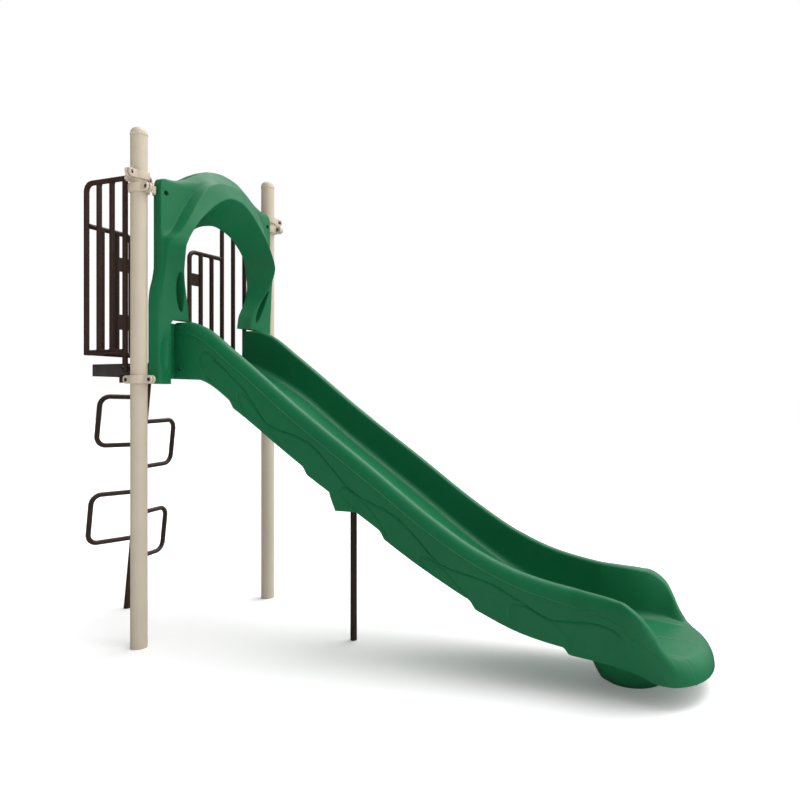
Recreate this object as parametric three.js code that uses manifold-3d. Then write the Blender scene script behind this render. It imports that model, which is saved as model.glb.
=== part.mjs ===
// Free-standing wave slide: two steel posts, a coated deck with barriers and a loop ladder behind it,
// a moulded entry hood between the posts, and a moulded chute with its foot and its support leg.
// Millimetres, +Z up. The chute runs towards +X and the object is symmetric about Y = 0, apart from
// the ladder's loops, which alternate from side to side.
import * as THREE from "three";
import { mergeVertices } from "three/addons/utils/BufferGeometryUtils.js";
import Module from "manifold-3d";

const wasm = await Module();
wasm.setup();

// ---- Driving dimensions ----
const fit = 0.3; // clearance between pieces that touch
const plate = 6; // thickness of the brackets

const post = { half: 545, radius: 44.45, wall: 3.2, top: 2921, sides: 28 };
const cap = { skirtRadius: 46, crown: 2968, plugDepth: 40, plugRadius: 40.5 };
const clamp = { radius: 56, height: 47, earReach: 110, earThickness: 13, slit: 3.3, boltX: 88, segments: 8 };
const clampHeights = { barrier: 2690, hood: 2618, deck: 1530 };
const clampTurns = { barrier: -17, hood: 12, deck: 0 }; // degrees, for the post on the +Y side
const socket = { radius: 21, reach: 89, depth: 25 };
const bolt = { shank: 5, hole: 6.2, head: 9.5, headHeight: 6, nut: 8.5, sides: 6 };

const deck = { rear: -435, front: 24, half: 495, top: 1626, depth: 72, skin: 5 };
const bar = { radius: 15, pitch: 102.5, bend: 48, sides: 10 };
const barrier = { rear: -413.5, inner: -106, sideTop: 2690, rearTop: 2444, bottom: 1692, innerBarEnd: 1572 };
const grip = { upper: [2210, 2297], lower: [1849, 1943], thickness: 5 };

const ladder = {
  footX: -721, topX: -532, topZ: 1600, radius: 22, sides: 16, tube: 15, reach: 306, swing: 80, bend: 58,
};
const loopSpans = {
  ladder_loop_top_right: [1123, 1439, -1],
  ladder_loop_top_left: [966, 1274, 1],
  ladder_loop_bottom_right: [488, 803, -1],
  ladder_loop_bottom_left: [336, 646, 1],
};

const hood = {
  back: 28, boltY: 435, boltZ: 2614, counterbore: 16, counterboreFloor: 50, legBoltY: 450, legBoltZ: 1590,
  relief: { radius: clamp.radius + 3, top: clampHeights.deck + clamp.height / 2 + 4 },
};
const slot = { y: 353, z: 2048, halfLength: 118, halfWidth: 26, lean: 15 };

const chute = {
  start: 26, noseStart: 2735, skin: 8, floorHalf: 252, bedRadius: 48, wallTopY: 268, crestY: 290,
  crestRadius: 22, lipY: 332, lipDrop: 90, draft: 4,
};
const nose = {
  centreX: 2860, reach: 262, power: 2.2, roll: 75, edge: 100, taper: 0.985,
  sideLines: 4, sideSpread: 24, steps: 8,
};
const flange = {
  half: 322, wingHalf: 386, wingTop: 1868, thickness: 9, bottom: 1541, boltY: 262, boltZ: 1592,
};
const entryBracket = { reach: 100, inner: 236, z: [1562, 1622], boltX: 79, boltZ: 1599 };
const boss = { rampStart: 1126, rampEnd: 1165, end: 1312, top: 903, bottom: 811 };
const leg = { x: 1074, radius: 19, saddle: 118, saddleThickness: 6, boltAlong: 47 };
const foot = { x: 2725, top: 216, wall: 9, topRadius: 228, bottomRadius: 128, stretch: 1.16, edge: 26 };

// Heights along the chute, as [x, z] pairs that a smooth curve passes through.
const rimLine = [
  [0, 1878], [120, 1878], [230, 1848], [466, 1694], [925, 1361], [1354, 1071],
  [1754, 797], [2007, 653], [2249, 562], [2482, 516], [2600, 502], [2680, 493],
  [2735, 485], [3200, 479],
];
const floorLine = [
  [0, 1626], [110, 1624], [230, 1583], [466, 1468], [925, 1148], [1354, 857],
  [1754, 580], [2007, 430], [2249, 325], [2482, 262], [2735, 238], [2950, 229], [3080, 212], [3200, 200],
];
const skirtDepth = [
  [0, 337], [120, 339], [240, 316], [440, 300], [900, 298], [1450, 288], [1950, 270], [2300, 284],
  [2600, 297], [2735, 308], [2828, 333], [2882, 355], [2984, 373], [3200, 374],
];
const rimDrop = [
  [2735, 1], [2762, 0.965], [2800, 0.875], [2840, 0.735], [2880, 0.49], [2920, 0.2], [2960, 0.04], [3010, 0],
  [3200, 0],
];
// How far the rim leans outwards near the exit, as [x, distance] pairs.
const flareLine = [
  [2480, 0], [2560, 16], [2640, 32], [2720, 53], [2800, 85], [2840, 92], [2880, 77], [2920, 55], [2960, 28],
  [3010, 0], [3200, 0],
];
const flareBand = { from: 190, width: 110 }; // the lean grows over this band of distances from the middle
const scallops = { starts: [440, 950, 1440, 1962, 2450], run: 490, depth: 26, step: 34 };

// Half of the hood, from the foot of a leg up to the crown. Each station is a slice through the
// moulding: [back edge, front edge, wall, brow, lip, throat], each as [y, z, x].
const legStation = (z, outer, front, brow, lip, throat) => [
  [outer, z, hood.back], [front[0], z, front[1]], [front[0] - 9, z, front[1] + 13],
  [brow[0], z, brow[1]], [lip[0], z, lip[1]], [throat, z, hood.back],
];
const archStation = (outer, wall, brow, lip, throat) => [
  [outer[0], outer[1], hood.back], outer, wall, brow, lip, [throat[0], throat[1], hood.back],
];
const hoodStations = [
  legStation(1506, 508, [488, 64], [462, 84], [393, 84], 393),
  legStation(1850, 508, [488, 64], [462, 84], [393, 84], 393),
  legStation(1871, 508, [488, 64], [462, 84], [388, 84], 388),
  legStation(1883, 508, [488, 64], [462, 84], [372, 84], 372),
  legStation(1887, 508, [488, 64], [462, 84], [350, 84], 350),
  legStation(1888, 508, [488, 64], [462, 84], [268, 84], 204),
  legStation(1960, 508, [488, 66], [464, 88], [276, 93], 216),
  legStation(2040, 501, [486, 70], [466, 95], [308, 112], 257),
  legStation(2117, 481, [476, 78], [462, 102], [345, 138], 291),
  legStation(2190, 470, [470, 84], [458, 108], [372, 164], 299),
  legStation(2300, 470, [470, 86], [456, 124], [389, 194], 281),
  archStation([470, 2352, 84], [459, 2350, 98], [445, 2343, 136], [375, 2346, 198], [268, 2352]),
  archStation([470, 2430, 84], [412, 2400, 99], [402, 2388, 156], [351, 2392, 200], [244, 2392]),
  archStation([470, 2515, 84], [380, 2452, 101], [368, 2441, 165], [321, 2439, 202], [211, 2427]),
  archStation([470, 2600, 84], [348, 2513, 103], [334, 2501, 169], [281, 2491, 203], [171, 2462]),
  archStation([467, 2664, 84], [314, 2573, 107], [299, 2560, 171], [235, 2538, 204], [131, 2487]),
  archStation([447, 2696, 84], [279, 2633, 115], [263, 2619, 171], [191, 2581, 205], [97, 2501]),
  archStation([384, 2703, 85], [243, 2685, 127], [225, 2669, 171], [149, 2614, 206], [67, 2510]),
  archStation([310, 2728, 87], [199, 2726, 138], [181, 2713, 171], [107, 2642, 207], [43, 2516]),
  archStation([215, 2785, 90], [149, 2756, 146], [134, 2743, 171], [69, 2661, 207], [25, 2519]),
  archStation([110, 2832, 93], [79, 2773, 151], [71, 2763, 171], [34, 2670, 208], [12, 2521]),
  archStation([0, 2846, 95], [0, 2778, 152], [0, 2768, 171], [0, 2673, 208], [0, 2521]),
];

// ---- Materials ----
const finish = (color, roughness, metalness = 0) =>
  new THREE.MeshStandardMaterial({ color, roughness, metalness });
const materials = {
  posts: finish(0xcdc0ae, 0.45, 0.2),
  steelwork: finish(0x3e2d23, 0.45, 0.2),
  deckCoat: finish(0x4b4646, 0.7),
  moulding: finish(0x1f6f43, 0.38),
  fasteners: finish(0x6f7073, 0.35, 0.9),
};

const slide = new THREE.Group();

function addPart(name, geometry, material) {
  const mesh = new THREE.Mesh(geometry, material);
  mesh.name = name;
  slide.add(mesh);
  return mesh;
}

// ---- Solids: cutting, joining, lofting ----
function toSolid(geometry) {
  const bare = geometry.clone();
  bare.deleteAttribute("normal");
  bare.deleteAttribute("uv");
  const merged = mergeVertices(bare, 1e-3);
  return new wasm.Manifold(new wasm.Mesh({
    numProp: 3,
    vertProperties: new Float32Array(merged.attributes.position.array),
    triVerts: new Uint32Array(merged.index.array),
  }));
}

function toGeometry(solid) {
  const mesh = solid.getMesh();
  const geometry = new THREE.BufferGeometry();
  geometry.setAttribute("position", new THREE.BufferAttribute(new Float32Array(mesh.vertProperties), 3));
  geometry.setIndex(new THREE.BufferAttribute(new Uint32Array(mesh.triVerts), 1));
  geometry.computeVertexNormals();
  return geometry;
}

const joined = (...geometries) => geometries.map(toSolid).reduce((all, next) => all.add(next));
const join = (...geometries) => toGeometry(joined(...geometries));
const cut = (geometry, ...tools) =>
  toGeometry(tools.map(toSolid).reduce((rest, tool) => rest.subtract(tool), toSolid(geometry)));

function box(x, y, z) {
  const geometry = new THREE.BoxGeometry(x[1] - x[0], y[1] - y[0], z[1] - z[0]);
  return geometry.translate((x[0] + x[1]) / 2, (y[0] + y[1]) / 2, (z[0] + z[1]) / 2);
}

// The radius of a faceted bore whose flats stay clear of a round piece.
const clearOf = (radius, sides) => (radius + fit) / Math.cos(Math.PI / sides);

// A round bar between two points.
function rod(from, to, radius, sides = 12) {
  const start = new THREE.Vector3(...from);
  const span = new THREE.Vector3(...to).sub(start);
  const geometry = new THREE.CylinderGeometry(radius, radius, span.length(), sides);
  geometry.translate(0, span.length() / 2, 0);
  geometry.applyQuaternion(new THREE.Quaternion().setFromUnitVectors(
    new THREE.Vector3(0, 1, 0), span.normalize()));
  return geometry.translate(start.x, start.y, start.z);
}

// A round bar bent through a line of corners, each with the same bend radius.
function bentBar(corners, bend, radius, sides) {
  const points = corners.map((corner) => new THREE.Vector3(...corner));
  const stops = [points[0]];
  for (let i = 1; i < points.length - 1; i += 1) {
    const before = points[i - 1].clone().sub(points[i]).setLength(bend).add(points[i]);
    const after = points[i + 1].clone().sub(points[i]).setLength(bend).add(points[i]);
    stops.push(...new THREE.QuadraticBezierCurve3(before, points[i], after).getPoints(5));
  }
  stops.push(points[points.length - 1]);
  const plane = stops[1].clone().sub(stops[0]).cross(points[2].clone().sub(points[1])).normalize();
  const rings = stops.map((stop, i) => {
    const from = stops[Math.max(0, i - 1)];
    const to = stops[Math.min(stops.length - 1, i + 1)];
    const sideways = plane.clone().cross(to.clone().sub(from).normalize());
    return Array.from({ length: sides }, (unused, corner) => {
      const angle = ((corner + 0.5) / sides) * Math.PI * 2;
      return stop.clone().addScaledVector(plane, radius * Math.cos(angle))
        .addScaledVector(sideways, radius * Math.sin(angle));
    });
  });
  return loft(rings);
}

// A turned piece on the +Z axis. The profile is [radius, z] pairs.
function turned(profile, sides) {
  const points = profile.map(([radius, z]) => new THREE.Vector2(radius, z));
  return new THREE.LatheGeometry(points, sides).rotateX(Math.PI / 2);
}

// A bolt along +Z: a domed head at the near end, a plain shank and a nut at the far end.
function boltGeometry(grip) {
  const { shank, head, headHeight, nut, sides } = bolt;
  return turned([
    [0, -headHeight], [head * 0.7, -headHeight], [head, -2], [head, 0], [shank, 0],
    [shank, grip], [nut, grip], [nut, grip + headHeight], [0, grip + headHeight],
  ], sides);
}

function addBolt(name, from, direction, grip) {
  const mesh = addPart(name, boltGeometry(grip), materials.fasteners);
  mesh.position.set(...from);
  mesh.quaternion.setFromUnitVectors(new THREE.Vector3(0, 0, 1), new THREE.Vector3(...direction));
}

// A smooth height along x through [x, value] pairs, with no overshoot between them.
function smoothLine(pairs) {
  const slopes = pairs.map((pair, i) => {
    if (i === 0 || i === pairs.length - 1) return 0;
    const before = (pair[1] - pairs[i - 1][1]) / (pair[0] - pairs[i - 1][0]);
    const after = (pairs[i + 1][1] - pair[1]) / (pairs[i + 1][0] - pair[0]);
    return before * after <= 0 ? 0 : (2 * before * after) / (before + after);
  });
  return (x) => {
    const last = pairs.length - 2;
    let i = 0;
    while (i < last && x > pairs[i + 1][0]) i += 1;
    const width = pairs[i + 1][0] - pairs[i][0];
    const t = Math.min(1, Math.max(0, (x - pairs[i][0]) / width));
    const rise = pairs[i][1] * (2 * t ** 3 - 3 * t ** 2 + 1) + pairs[i + 1][1] * (3 * t ** 2 - 2 * t ** 3);
    return rise + width * (slopes[i] * (t ** 3 - 2 * t ** 2 + t) + slopes[i + 1] * (t ** 3 - t ** 2));
  };
}

// The closed body between convex rings of equal length, capped at its first and last ring.
function loft(rings) {
  const size = rings[0].length;
  const indices = [];
  for (let row = 0; row < rings.length - 1; row += 1) {
    for (let i = 0; i < size; i += 1) {
      const a = row * size + i;
      const b = row * size + (i + 1) % size;
      indices.push(a, b, b + size, a, b + size, a + size);
    }
  }
  const last = (rings.length - 1) * size;
  for (let i = 1; i < size - 1; i += 1) {
    indices.push(0, i + 1, i, last, last + i, last + i + 1);
  }
  return fromTriangles(rings.flat(), indices);
}

function fromTriangles(points, indices) {
  const geometry = new THREE.BufferGeometry().setFromPoints(points);
  geometry.setIndex(indices);
  return facingOut(geometry);
}

// Turns a closed body's faces outward if its signed volume is negative.
function facingOut(geometry) {
  const { position } = geometry.attributes;
  const index = geometry.index.array;
  const corner = (i) => new THREE.Vector3().fromBufferAttribute(position, index[i]);
  let volume = 0;
  for (let i = 0; i < index.length; i += 3) volume += corner(i).dot(corner(i + 1).cross(corner(i + 2)));
  if (volume < 0) geometry.setIndex([...index].reverse());
  return geometry;
}

// The closed shell between two grids of points, with strips that join their edges.
function shell(outer, inner) {
  const rows = outer.length;
  const columns = outer[0].length;
  const id = (row, column, side) => side * rows * columns + row * columns + column;
  const indices = [];
  const quad = (a, b, c, d) => indices.push(a, b, c, a, c, d);
  for (let row = 0; row < rows - 1; row += 1) {
    for (let column = 0; column < columns - 1; column += 1) {
      quad(id(row, column, 0), id(row + 1, column, 0), id(row + 1, column + 1, 0), id(row, column + 1, 0));
      quad(id(row, column, 1), id(row, column + 1, 1), id(row + 1, column + 1, 1), id(row + 1, column, 1));
    }
    quad(id(row, 0, 0), id(row, 0, 1), id(row + 1, 0, 1), id(row + 1, 0, 0));
    const edge = columns - 1;
    quad(id(row, edge, 1), id(row, edge, 0), id(row + 1, edge, 0), id(row + 1, edge, 1));
  }
  for (let column = 0; column < columns - 1; column += 1) {
    const end = rows - 1;
    quad(id(0, column, 1), id(0, column, 0), id(0, column + 1, 0), id(0, column + 1, 1));
    quad(id(end, column, 0), id(end, column, 1), id(end, column + 1, 1), id(end, column + 1, 0));
  }
  return fromTriangles([...outer.flat(), ...inner.flat()], indices);
}

// ---- Posts and caps ----
function postGeometry() {
  const bore = post.radius - post.wall;
  return turned([
    [bore, 0], [post.radius, 0], [post.radius, post.top], [bore, post.top], [bore, 0],
  ], post.sides);
}

function capGeometry() {
  const base = post.top + fit;
  const dome = cap.crown - base - 9;
  const profile = [[0, base - cap.plugDepth], [cap.plugRadius, base - cap.plugDepth], [cap.plugRadius, base]];
  profile.push([cap.skirtRadius - 1.5, base], [cap.skirtRadius, base + 3], [cap.skirtRadius - 1.5, base + 7]);
  for (let step = 0; step <= 4; step += 1) {
    const angle = (step / 4) * (Math.PI / 2);
    profile.push([(cap.skirtRadius - 3.5) * Math.cos(angle) ** 0.8, base + 9 + dome * Math.sin(angle)]);
  }
  profile[profile.length - 1][0] = 0;
  return turned(profile, 20);
}

// ---- Clamps: two half collars with ears, drawn together by bolts ----
function clampHalf(rearEar = true) {
  const { radius, height, earReach, earThickness, slit, segments } = clamp;
  const bore = clearOf(post.radius, 2 * segments);
  const web = slit + earThickness;
  const webAngle = Math.asin((web + 4) / radius);
  const slitAngle = Math.asin(slit / bore);
  const outline = new THREE.Shape();
  outline.moveTo(bore * Math.cos(slitAngle), slit);
  outline.lineTo(earReach, slit);
  outline.lineTo(earReach, web);
  outline.lineTo(radius + 3, web);
  outline.absarc(0, 0, radius, webAngle, Math.PI - (rearEar ? webAngle : Math.asin(slit / radius)), false);
  if (rearEar) {
    outline.lineTo(-radius - 3, web);
    outline.lineTo(-earReach, web);
    outline.lineTo(-earReach, slit);
  }
  outline.lineTo(-bore * Math.cos(slitAngle), slit);
  outline.absarc(0, 0, bore, Math.PI - slitAngle, slitAngle, true);
  const settings = { depth: height, bevelEnabled: false, curveSegments: segments };
  const collar = new THREE.ExtrudeGeometry(outline, settings);
  collar.translate(0, 0, -height / 2);
  const ends = rearEar ? [-1, 1] : [1];
  const holes = ends.map((end) => rod([end * clamp.boltX, 0, 0], [end * clamp.boltX, 40, 0], bolt.hole, 6));
  const rounded = toSolid(collar).intersect(toSolid(earOutline()));
  return cut(toGeometry(rounded), ...holes);
}

// A prism along Y with round ends, which gives the ears their shape.
function earOutline() {
  const round = clamp.height / 2;
  const end = clamp.earReach - round;
  const side = new THREE.Shape();
  side.absarc(end, 0, round, -Math.PI / 2, Math.PI / 2, false);
  side.absarc(-end, 0, round, Math.PI / 2, Math.PI * 1.5, false);
  const prism = new THREE.ExtrudeGeometry(side, { depth: 200, bevelEnabled: false, curveSegments: 6 });
  return prism.translate(0, 0, -100).rotateX(Math.PI / 2);
}

// The rear half of a barrier clamp has a socket that takes the end of the top rail.
function socketHalf(turn) {
  const { radius, reach, depth } = socket;
  const nozzle = rod([0, 50, 0], [0, reach, 0], radius, 14).rotateZ(turn);
  const bore = rod([0, reach - depth, 0], [0, reach + 10, 0], clearOf(bar.radius, bar.sides), bar.sides);
  return cut(join(clampHalf(), nozzle), bore.rotateZ(turn));
}

function addClamps(side, word) {
  const lean = (use) => THREE.MathUtils.degToRad(side * clampTurns[use]);
  const place = (name, geometry, use, turn = 0) => {
    const mesh = addPart(name, geometry, materials.posts);
    mesh.position.set(0, side * post.half, clampHeights[use]);
    mesh.rotation.z = turn + lean(use);
  };
  const mirrored = (geometry) => facingOut(toGeometry(toSolid(geometry)).scale(1, -1, 1));
  const pair = (use, half) => {
    const [outer, inner] = side > 0 ? [half, mirrored(half)] : [mirrored(half), half];
    place(`${use}_clamp_outer_${word}`, outer, use);
    place(`${use}_clamp_inner_${word}`, inner, use);
  };
  pair("hood", clampHalf(false));
  pair("deck", clampHalf());
  place(`barrier_clamp_front_${word}`, clampHalf(), "barrier", -Math.PI / 2);
  place(`barrier_clamp_rear_${word}`, socketHalf(-lean("barrier")), "barrier", Math.PI / 2);
  const reach = clamp.slit + clamp.earThickness + fit;
  const boltAt = (name, use, x, y, direction, grip) => {
    const turned = ([u, v]) => new THREE.Vector2(u, v).rotateAround(new THREE.Vector2(), lean(use));
    const from = turned([x, y]);
    const along = turned(direction);
    addBolt(name, [from.x, side * post.half + from.y, clampHeights[use]], [along.x, along.y, 0], grip);
  };
  const inward = [0, -side];
  boltAt(`hood_clamp_bolt_${word}`, "hood", clamp.boltX, side * reach, inward, 2 * reach + plate + fit);
  boltAt(`deck_clamp_rear_bolt_${word}`, "deck", -clamp.boltX, side * reach, inward, 2 * reach);
  boltAt(`deck_clamp_front_bolt_${word}`, "deck", clamp.boltX, side * reach, inward, 2 * reach);
  boltAt(`barrier_clamp_bolt_${word}`, "barrier", reach, side * clamp.boltX, [-1, 0], 2 * reach);
}

// ---- Deck: a flanged pan with two stiffeners, resting on a bracket at each post ----
const deckBottom = deck.top - deck.depth;
const ladderBracket = { z: [1560, 1620], half: 58, boltY: 44, boltZ: 1590 };

function deckGeometry() {
  const { rear, front, half, top, skin } = deck;
  const pan = cut(
    box([rear, front], [-half, half], [deckBottom, top]),
    box([rear + skin, front - skin], [-half + skin, half - skin], [deckBottom - 1, top - skin]),
  );
  const ribs = [-1, 1].map((side) =>
    box([rear + 1, front - 1], [side * 165 - skin / 2, side * 165 + skin / 2], [deckBottom + 12, top - 1]));
  const through = (y, z) => rod([front - 12, y, z], [front + 2, y, z], bolt.hole, 8);
  const fromRear = (y, z) => rod([rear - 2, y, z], [rear + 12, y, z], bolt.hole, 8);
  const holes = [-1, 1].flatMap((side) => [
    through(side * flange.boltY, flange.boltZ),
    through(side * hood.legBoltY, hood.legBoltZ),
    fromRear(side * ladderBracket.boltY, ladderBracket.boltZ),
    rod([barrier.inner, side * (half - 12), 1600], [barrier.inner, side * (half + 2), 1600], bolt.hole, 8),
  ]);
  return cut(join(pan, ...ribs), ...holes);
}

// The tab sits between the deck clamp's rear ears; the shelf carries the deck's edge.
function deckBracket(side) {
  const top = deckBottom - fit;
  const middle = clampHeights.deck;
  const tab = box([-150, -clamp.radius - 8], [-plate / 2, plate / 2], [middle - 18, top]);
  const shelf = box([-150, -clamp.earReach - 2], [-112, plate / 2], [top - plate, top]);
  const hole = rod([-clamp.boltX, -20, middle], [-clamp.boltX, 20, middle], bolt.hole, 8);
  const geometry = cut(join(tab, shelf), hole);
  if (side < 0) geometry.rotateZ(Math.PI).scale(-1, 1, 1);
  return facingOut(toGeometry(toSolid(geometry))).translate(0, side * post.half, 0);
}

// ---- Barriers ----
function sideBarrier(side) {
  const y = side * post.half;
  const { rear, inner, sideTop, bottom, innerBarEnd } = barrier;
  const frame = bentBar([
    [-socket.reach + socket.depth - 2, y, sideTop], [rear, y, sideTop], [rear, y, bottom - bar.radius],
  ], bar.bend, bar.radius, bar.sides);
  const pieces = [frame, rod([rear, y, bottom], [inner, y, bottom], bar.radius, bar.sides)];
  for (let x = rear + bar.pitch; x < inner - 1; x += bar.pitch) {
    pieces.push(rod([x, y, bottom], [x, y, sideTop], bar.radius, bar.sides));
  }
  pieces.push(rod([inner, y, innerBarEnd], [inner, y, sideTop], bar.radius, bar.sides));
  pieces.push(rod([inner, y, 1600], [inner, side * (deck.half + fit), 1600], 12, bar.sides));
  const footHole = rod([inner, side * 450, 1600], [inner, side * 600, 1600], bolt.hole, 10);
  return cut(join(...pieces), footHole);
}

function rearBarrier(side) {
  const x = barrier.rear;
  const { rearTop, bottom } = barrier;
  const outerY = side * (post.half - bar.radius - fit);
  const innerY = side * (post.half - 3 * bar.pitch);
  const frame = bentBar([
    [x, outerY, rearTop], [x, innerY, rearTop], [x, innerY, bottom - bar.radius],
  ], bar.bend, bar.radius, bar.sides);
  const pieces = [frame, rod([x, outerY, bottom], [x, innerY, bottom], bar.radius, bar.sides)];
  for (const step of [1, 2]) {
    const y = side * (post.half - step * bar.pitch);
    pieces.push(rod([x, y, bottom], [x, y, rearTop], bar.radius, bar.sides));
  }
  const gripSpan = [innerY, side * (post.half - 2 * bar.pitch)].sort((a, b) => a - b);
  for (const z of [grip.upper, grip.lower]) {
    pieces.push(box([x - grip.thickness / 2, x + grip.thickness / 2], gripSpan, z));
  }
  return join(...pieces);
}

// ---- Ladder: a leaning pole with loops, bolted to the deck's rear flange ----
const poleAxis = new THREE.Vector3(ladder.topX - ladder.footX, 0, 1555).normalize();
const onPole = (distance) => new THREE.Vector3(ladder.footX, 0, 0).addScaledVector(poleAxis, distance);

function poleGeometry() {
  const top = onPole(ladder.topZ / poleAxis.z).toArray();
  const below = onPole(-40).toArray();
  const pole = rod(below, top, ladder.radius, ladder.sides);
  const ground = box([ladder.footX - 80, ladder.footX + 80], [-60, 60], [-80, 0]);
  const crossHole = rod([top[0] - 4, -40, 1585], [top[0] - 4, 40, 1585], bolt.hole, 8);
  return cut(pole, ground, crossHole);
}

function ladderLoop([low, high, side]) {
  const swing = THREE.MathUtils.degToRad(ladder.swing);
  const back = Math.cos(swing);
  const outward = new THREE.Vector3(-back * poleAxis.z, side * Math.sin(swing), back * poleAxis.x);
  const corner = (distance, reach) => onPole(distance).addScaledVector(outward, reach).toArray();
  const corners = [corner(high, 4), corner(high, ladder.reach), corner(low, ladder.reach), corner(low, 4)];
  const tube = bentBar(corners, ladder.bend, ladder.tube, 8);
  return cut(tube, rod(onPole(low - 60).toArray(), onPole(high + 60).toArray(),
    clearOf(ladder.radius, ladder.sides), ladder.sides));
}

function ladderBracketGeometry() {
  const rear = deck.rear - fit;
  const base = box([rear - plate, rear], [-ladderBracket.half, ladderBracket.half], ladderBracket.z);
  const cheeks = [-1, 1].map((side) => {
    const inner = ladder.radius + 1;
    const across = side > 0 ? [inner, inner + plate] : [-inner - plate, -inner];
    return box([rear - 122, rear - 1], across, [1562, 1608]);
  });
  const holes = [-1, 1].map((side) =>
    rod([rear - 12, side * ladderBracket.boltY, ladderBracket.boltZ],
      [rear + 2, side * ladderBracket.boltY, ladderBracket.boltZ], bolt.hole, 8));
  const crossX = onPole(ladder.topZ / poleAxis.z).x - 4;
  const cross = rod([crossX, -50, 1585], [crossX, 50, 1585], bolt.hole, 8);
  return cut(join(base, ...cheeks), ...holes, cross);
}

// ---- Hood ----
function hoodGeometry() {
  const mirrored = (station, side) => station.map(([y, z, x]) => new THREE.Vector3(x, side * y, z));
  const left = hoodStations.map((station) => mirrored(station, 1));
  const right = hoodStations.slice(0, -1).reverse().map((station) => mirrored(station, -1));
  const body = loft([...left, ...right]);
  const tools = [];
  for (const side of [-1, 1]) {
    const boltAt = (x) => [x, side * hood.boltY, hood.boltZ];
    const legBoltAt = (x) => [x, side * hood.legBoltY, hood.legBoltZ];
    const postAt = (z) => [0, side * post.half, z];
    tools.push(rod(boltAt(0), boltAt(260), bolt.hole, 8));
    tools.push(rod(boltAt(hood.counterboreFloor), boltAt(260), hood.counterbore, 16));
    tools.push(rod(legBoltAt(0), legBoltAt(68), 9, 10));
    tools.push(rod(postAt(1480), postAt(hood.relief.top), hood.relief.radius, 24));
    const opening = new THREE.Shape().absellipse(0, 0, slot.halfWidth, slot.halfLength, 0, Math.PI * 2);
    const prism = new THREE.ExtrudeGeometry(opening, { depth: 300, bevelEnabled: false, curveSegments: 9 });
    prism.rotateZ(THREE.MathUtils.degToRad(-side * slot.lean));
    prism.rotateX(Math.PI / 2);
    prism.rotateZ(Math.PI / 2);
    tools.push(prism.translate(-20, side * slot.y, slot.z));
  }
  return cut(body, ...tools);
}

// A flat strip that leaves the inner face of the hood clamp's ear and lies behind the hood.
function hoodBracket(side) {
  const face = clamp.slit + clamp.earThickness + fit + plate / 2;
  const turn = THREE.MathUtils.degToRad(-clampTurns.hood);
  const onEar = (x) => new THREE.Vector2(x, face).rotateAround(new THREE.Vector2(), turn).toArray();
  const path = [onEar(clamp.earReach - 2), onEar(72), [62, 60], [24.5, 71], [24.5, 148]];
  const offset = (sign) => path.map(([x, y], i) => {
    const from = path[Math.max(0, i - 1)];
    const to = path[Math.min(path.length - 1, i + 1)];
    const along = new THREE.Vector2(to[0] - from[0], to[1] - from[1]).normalize();
    return new THREE.Vector2(x - sign * along.y * (plate / 2), y + sign * along.x * (plate / 2));
  });
  const outline = new THREE.Shape([...offset(1), ...offset(-1).reverse()]);
  const strip = new THREE.ExtrudeGeometry(outline, { depth: 44, bevelEnabled: false });
  strip.translate(0, -post.half, clampHeights.hood - 22);
  const clampHole = rod([clamp.boltX, -20, 0], [clamp.boltX, 60, 0], bolt.hole, 8)
    .rotateZ(turn).translate(0, -post.half, clampHeights.hood);
  const hoodHole = rod([0, -hood.boltY, hood.boltZ], [60, -hood.boltY, hood.boltZ], bolt.hole, 8);
  const geometry = cut(strip, clampHole, hoodHole);
  if (side > 0) geometry.scale(1, -1, 1);
  return facingOut(geometry);
}

// ---- Chute ----
const rimZ = smoothLine(rimLine);
const floorZ = smoothLine(floorLine);
const skirtDrop = smoothLine(skirtDepth);
const rimShare = smoothLine(rimDrop);
const flareOut = smoothLine(flareLine);

// The skirt's lower edge steps down and then runs out, once for each scallop.
function scallop(x) {
  const start = scallops.starts.filter((value) => value <= x).pop();
  if (start === undefined || x > scallops.starts[scallops.starts.length - 1] + scallops.run) return 0;
  const along = x - start;
  const rise = Math.min(1, along / scallops.step);
  const fade = Math.max(0, 1 - Math.max(0, along - scallops.step) / (scallops.run - scallops.step));
  return scallops.depth * (3 * rise ** 2 - 2 * rise ** 3) * fade;
}

// The boss over the support leg: a ramp down from the skirt's edge, then a level stretch.
function bossZ(x) {
  const share = (x - boss.rampStart) / (boss.rampEnd - boss.rampStart);
  return boss.top + (boss.bottom - boss.top) * Math.min(1, share);
}

function skirtZ(x) {
  const edge = rimZ(x) - skirtDrop(x) - scallop(x);
  return x > boss.rampStart && x < boss.end ? Math.min(edge, bossZ(x)) : edge;
}

// Half of the chute's outer section at x, from the middle of the bed to the skirt's lower edge,
// as [y, z] pairs.
function halfSection(x) {
  const { floorHalf, bedRadius, wallTopY, crestY, crestRadius, lipY, lipDrop, draft } = chute;
  const bed = floorZ(x);
  const share = rimShare(Math.max(x, chute.noseStart));
  const rim = bed + (rimZ(x) - bed) * share;
  const points = [[0, bed], [floorHalf - bedRadius, bed]];
  const inRadians = THREE.MathUtils.degToRad;
  for (const angle of [40, 78].map(inRadians)) {
    const wallY = floorHalf - bedRadius * (1 - Math.sin(angle));
    points.push([wallY, bed + bedRadius * (1 - Math.cos(angle)) * share]);
  }
  points.push([wallTopY, rim - (crestRadius + 12) * share]);
  const inner = inRadians(145);
  points.push([crestY + crestRadius * Math.cos(inner), rim - crestRadius * (1 - Math.sin(inner)) * share]);
  for (const angle of [0, 35, 65].map(inRadians)) {
    points.push([crestY + (lipY - crestY) * Math.sin(angle), rim - lipDrop * (1 - Math.cos(angle)) * share]);
  }
  const lip = rim - lipDrop * share;
  points.push([lipY, lip], [lipY - draft / 2, (lip + skirtZ(x)) / 2], [lipY - draft, skirtZ(x)]);
  return points;
}

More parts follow.
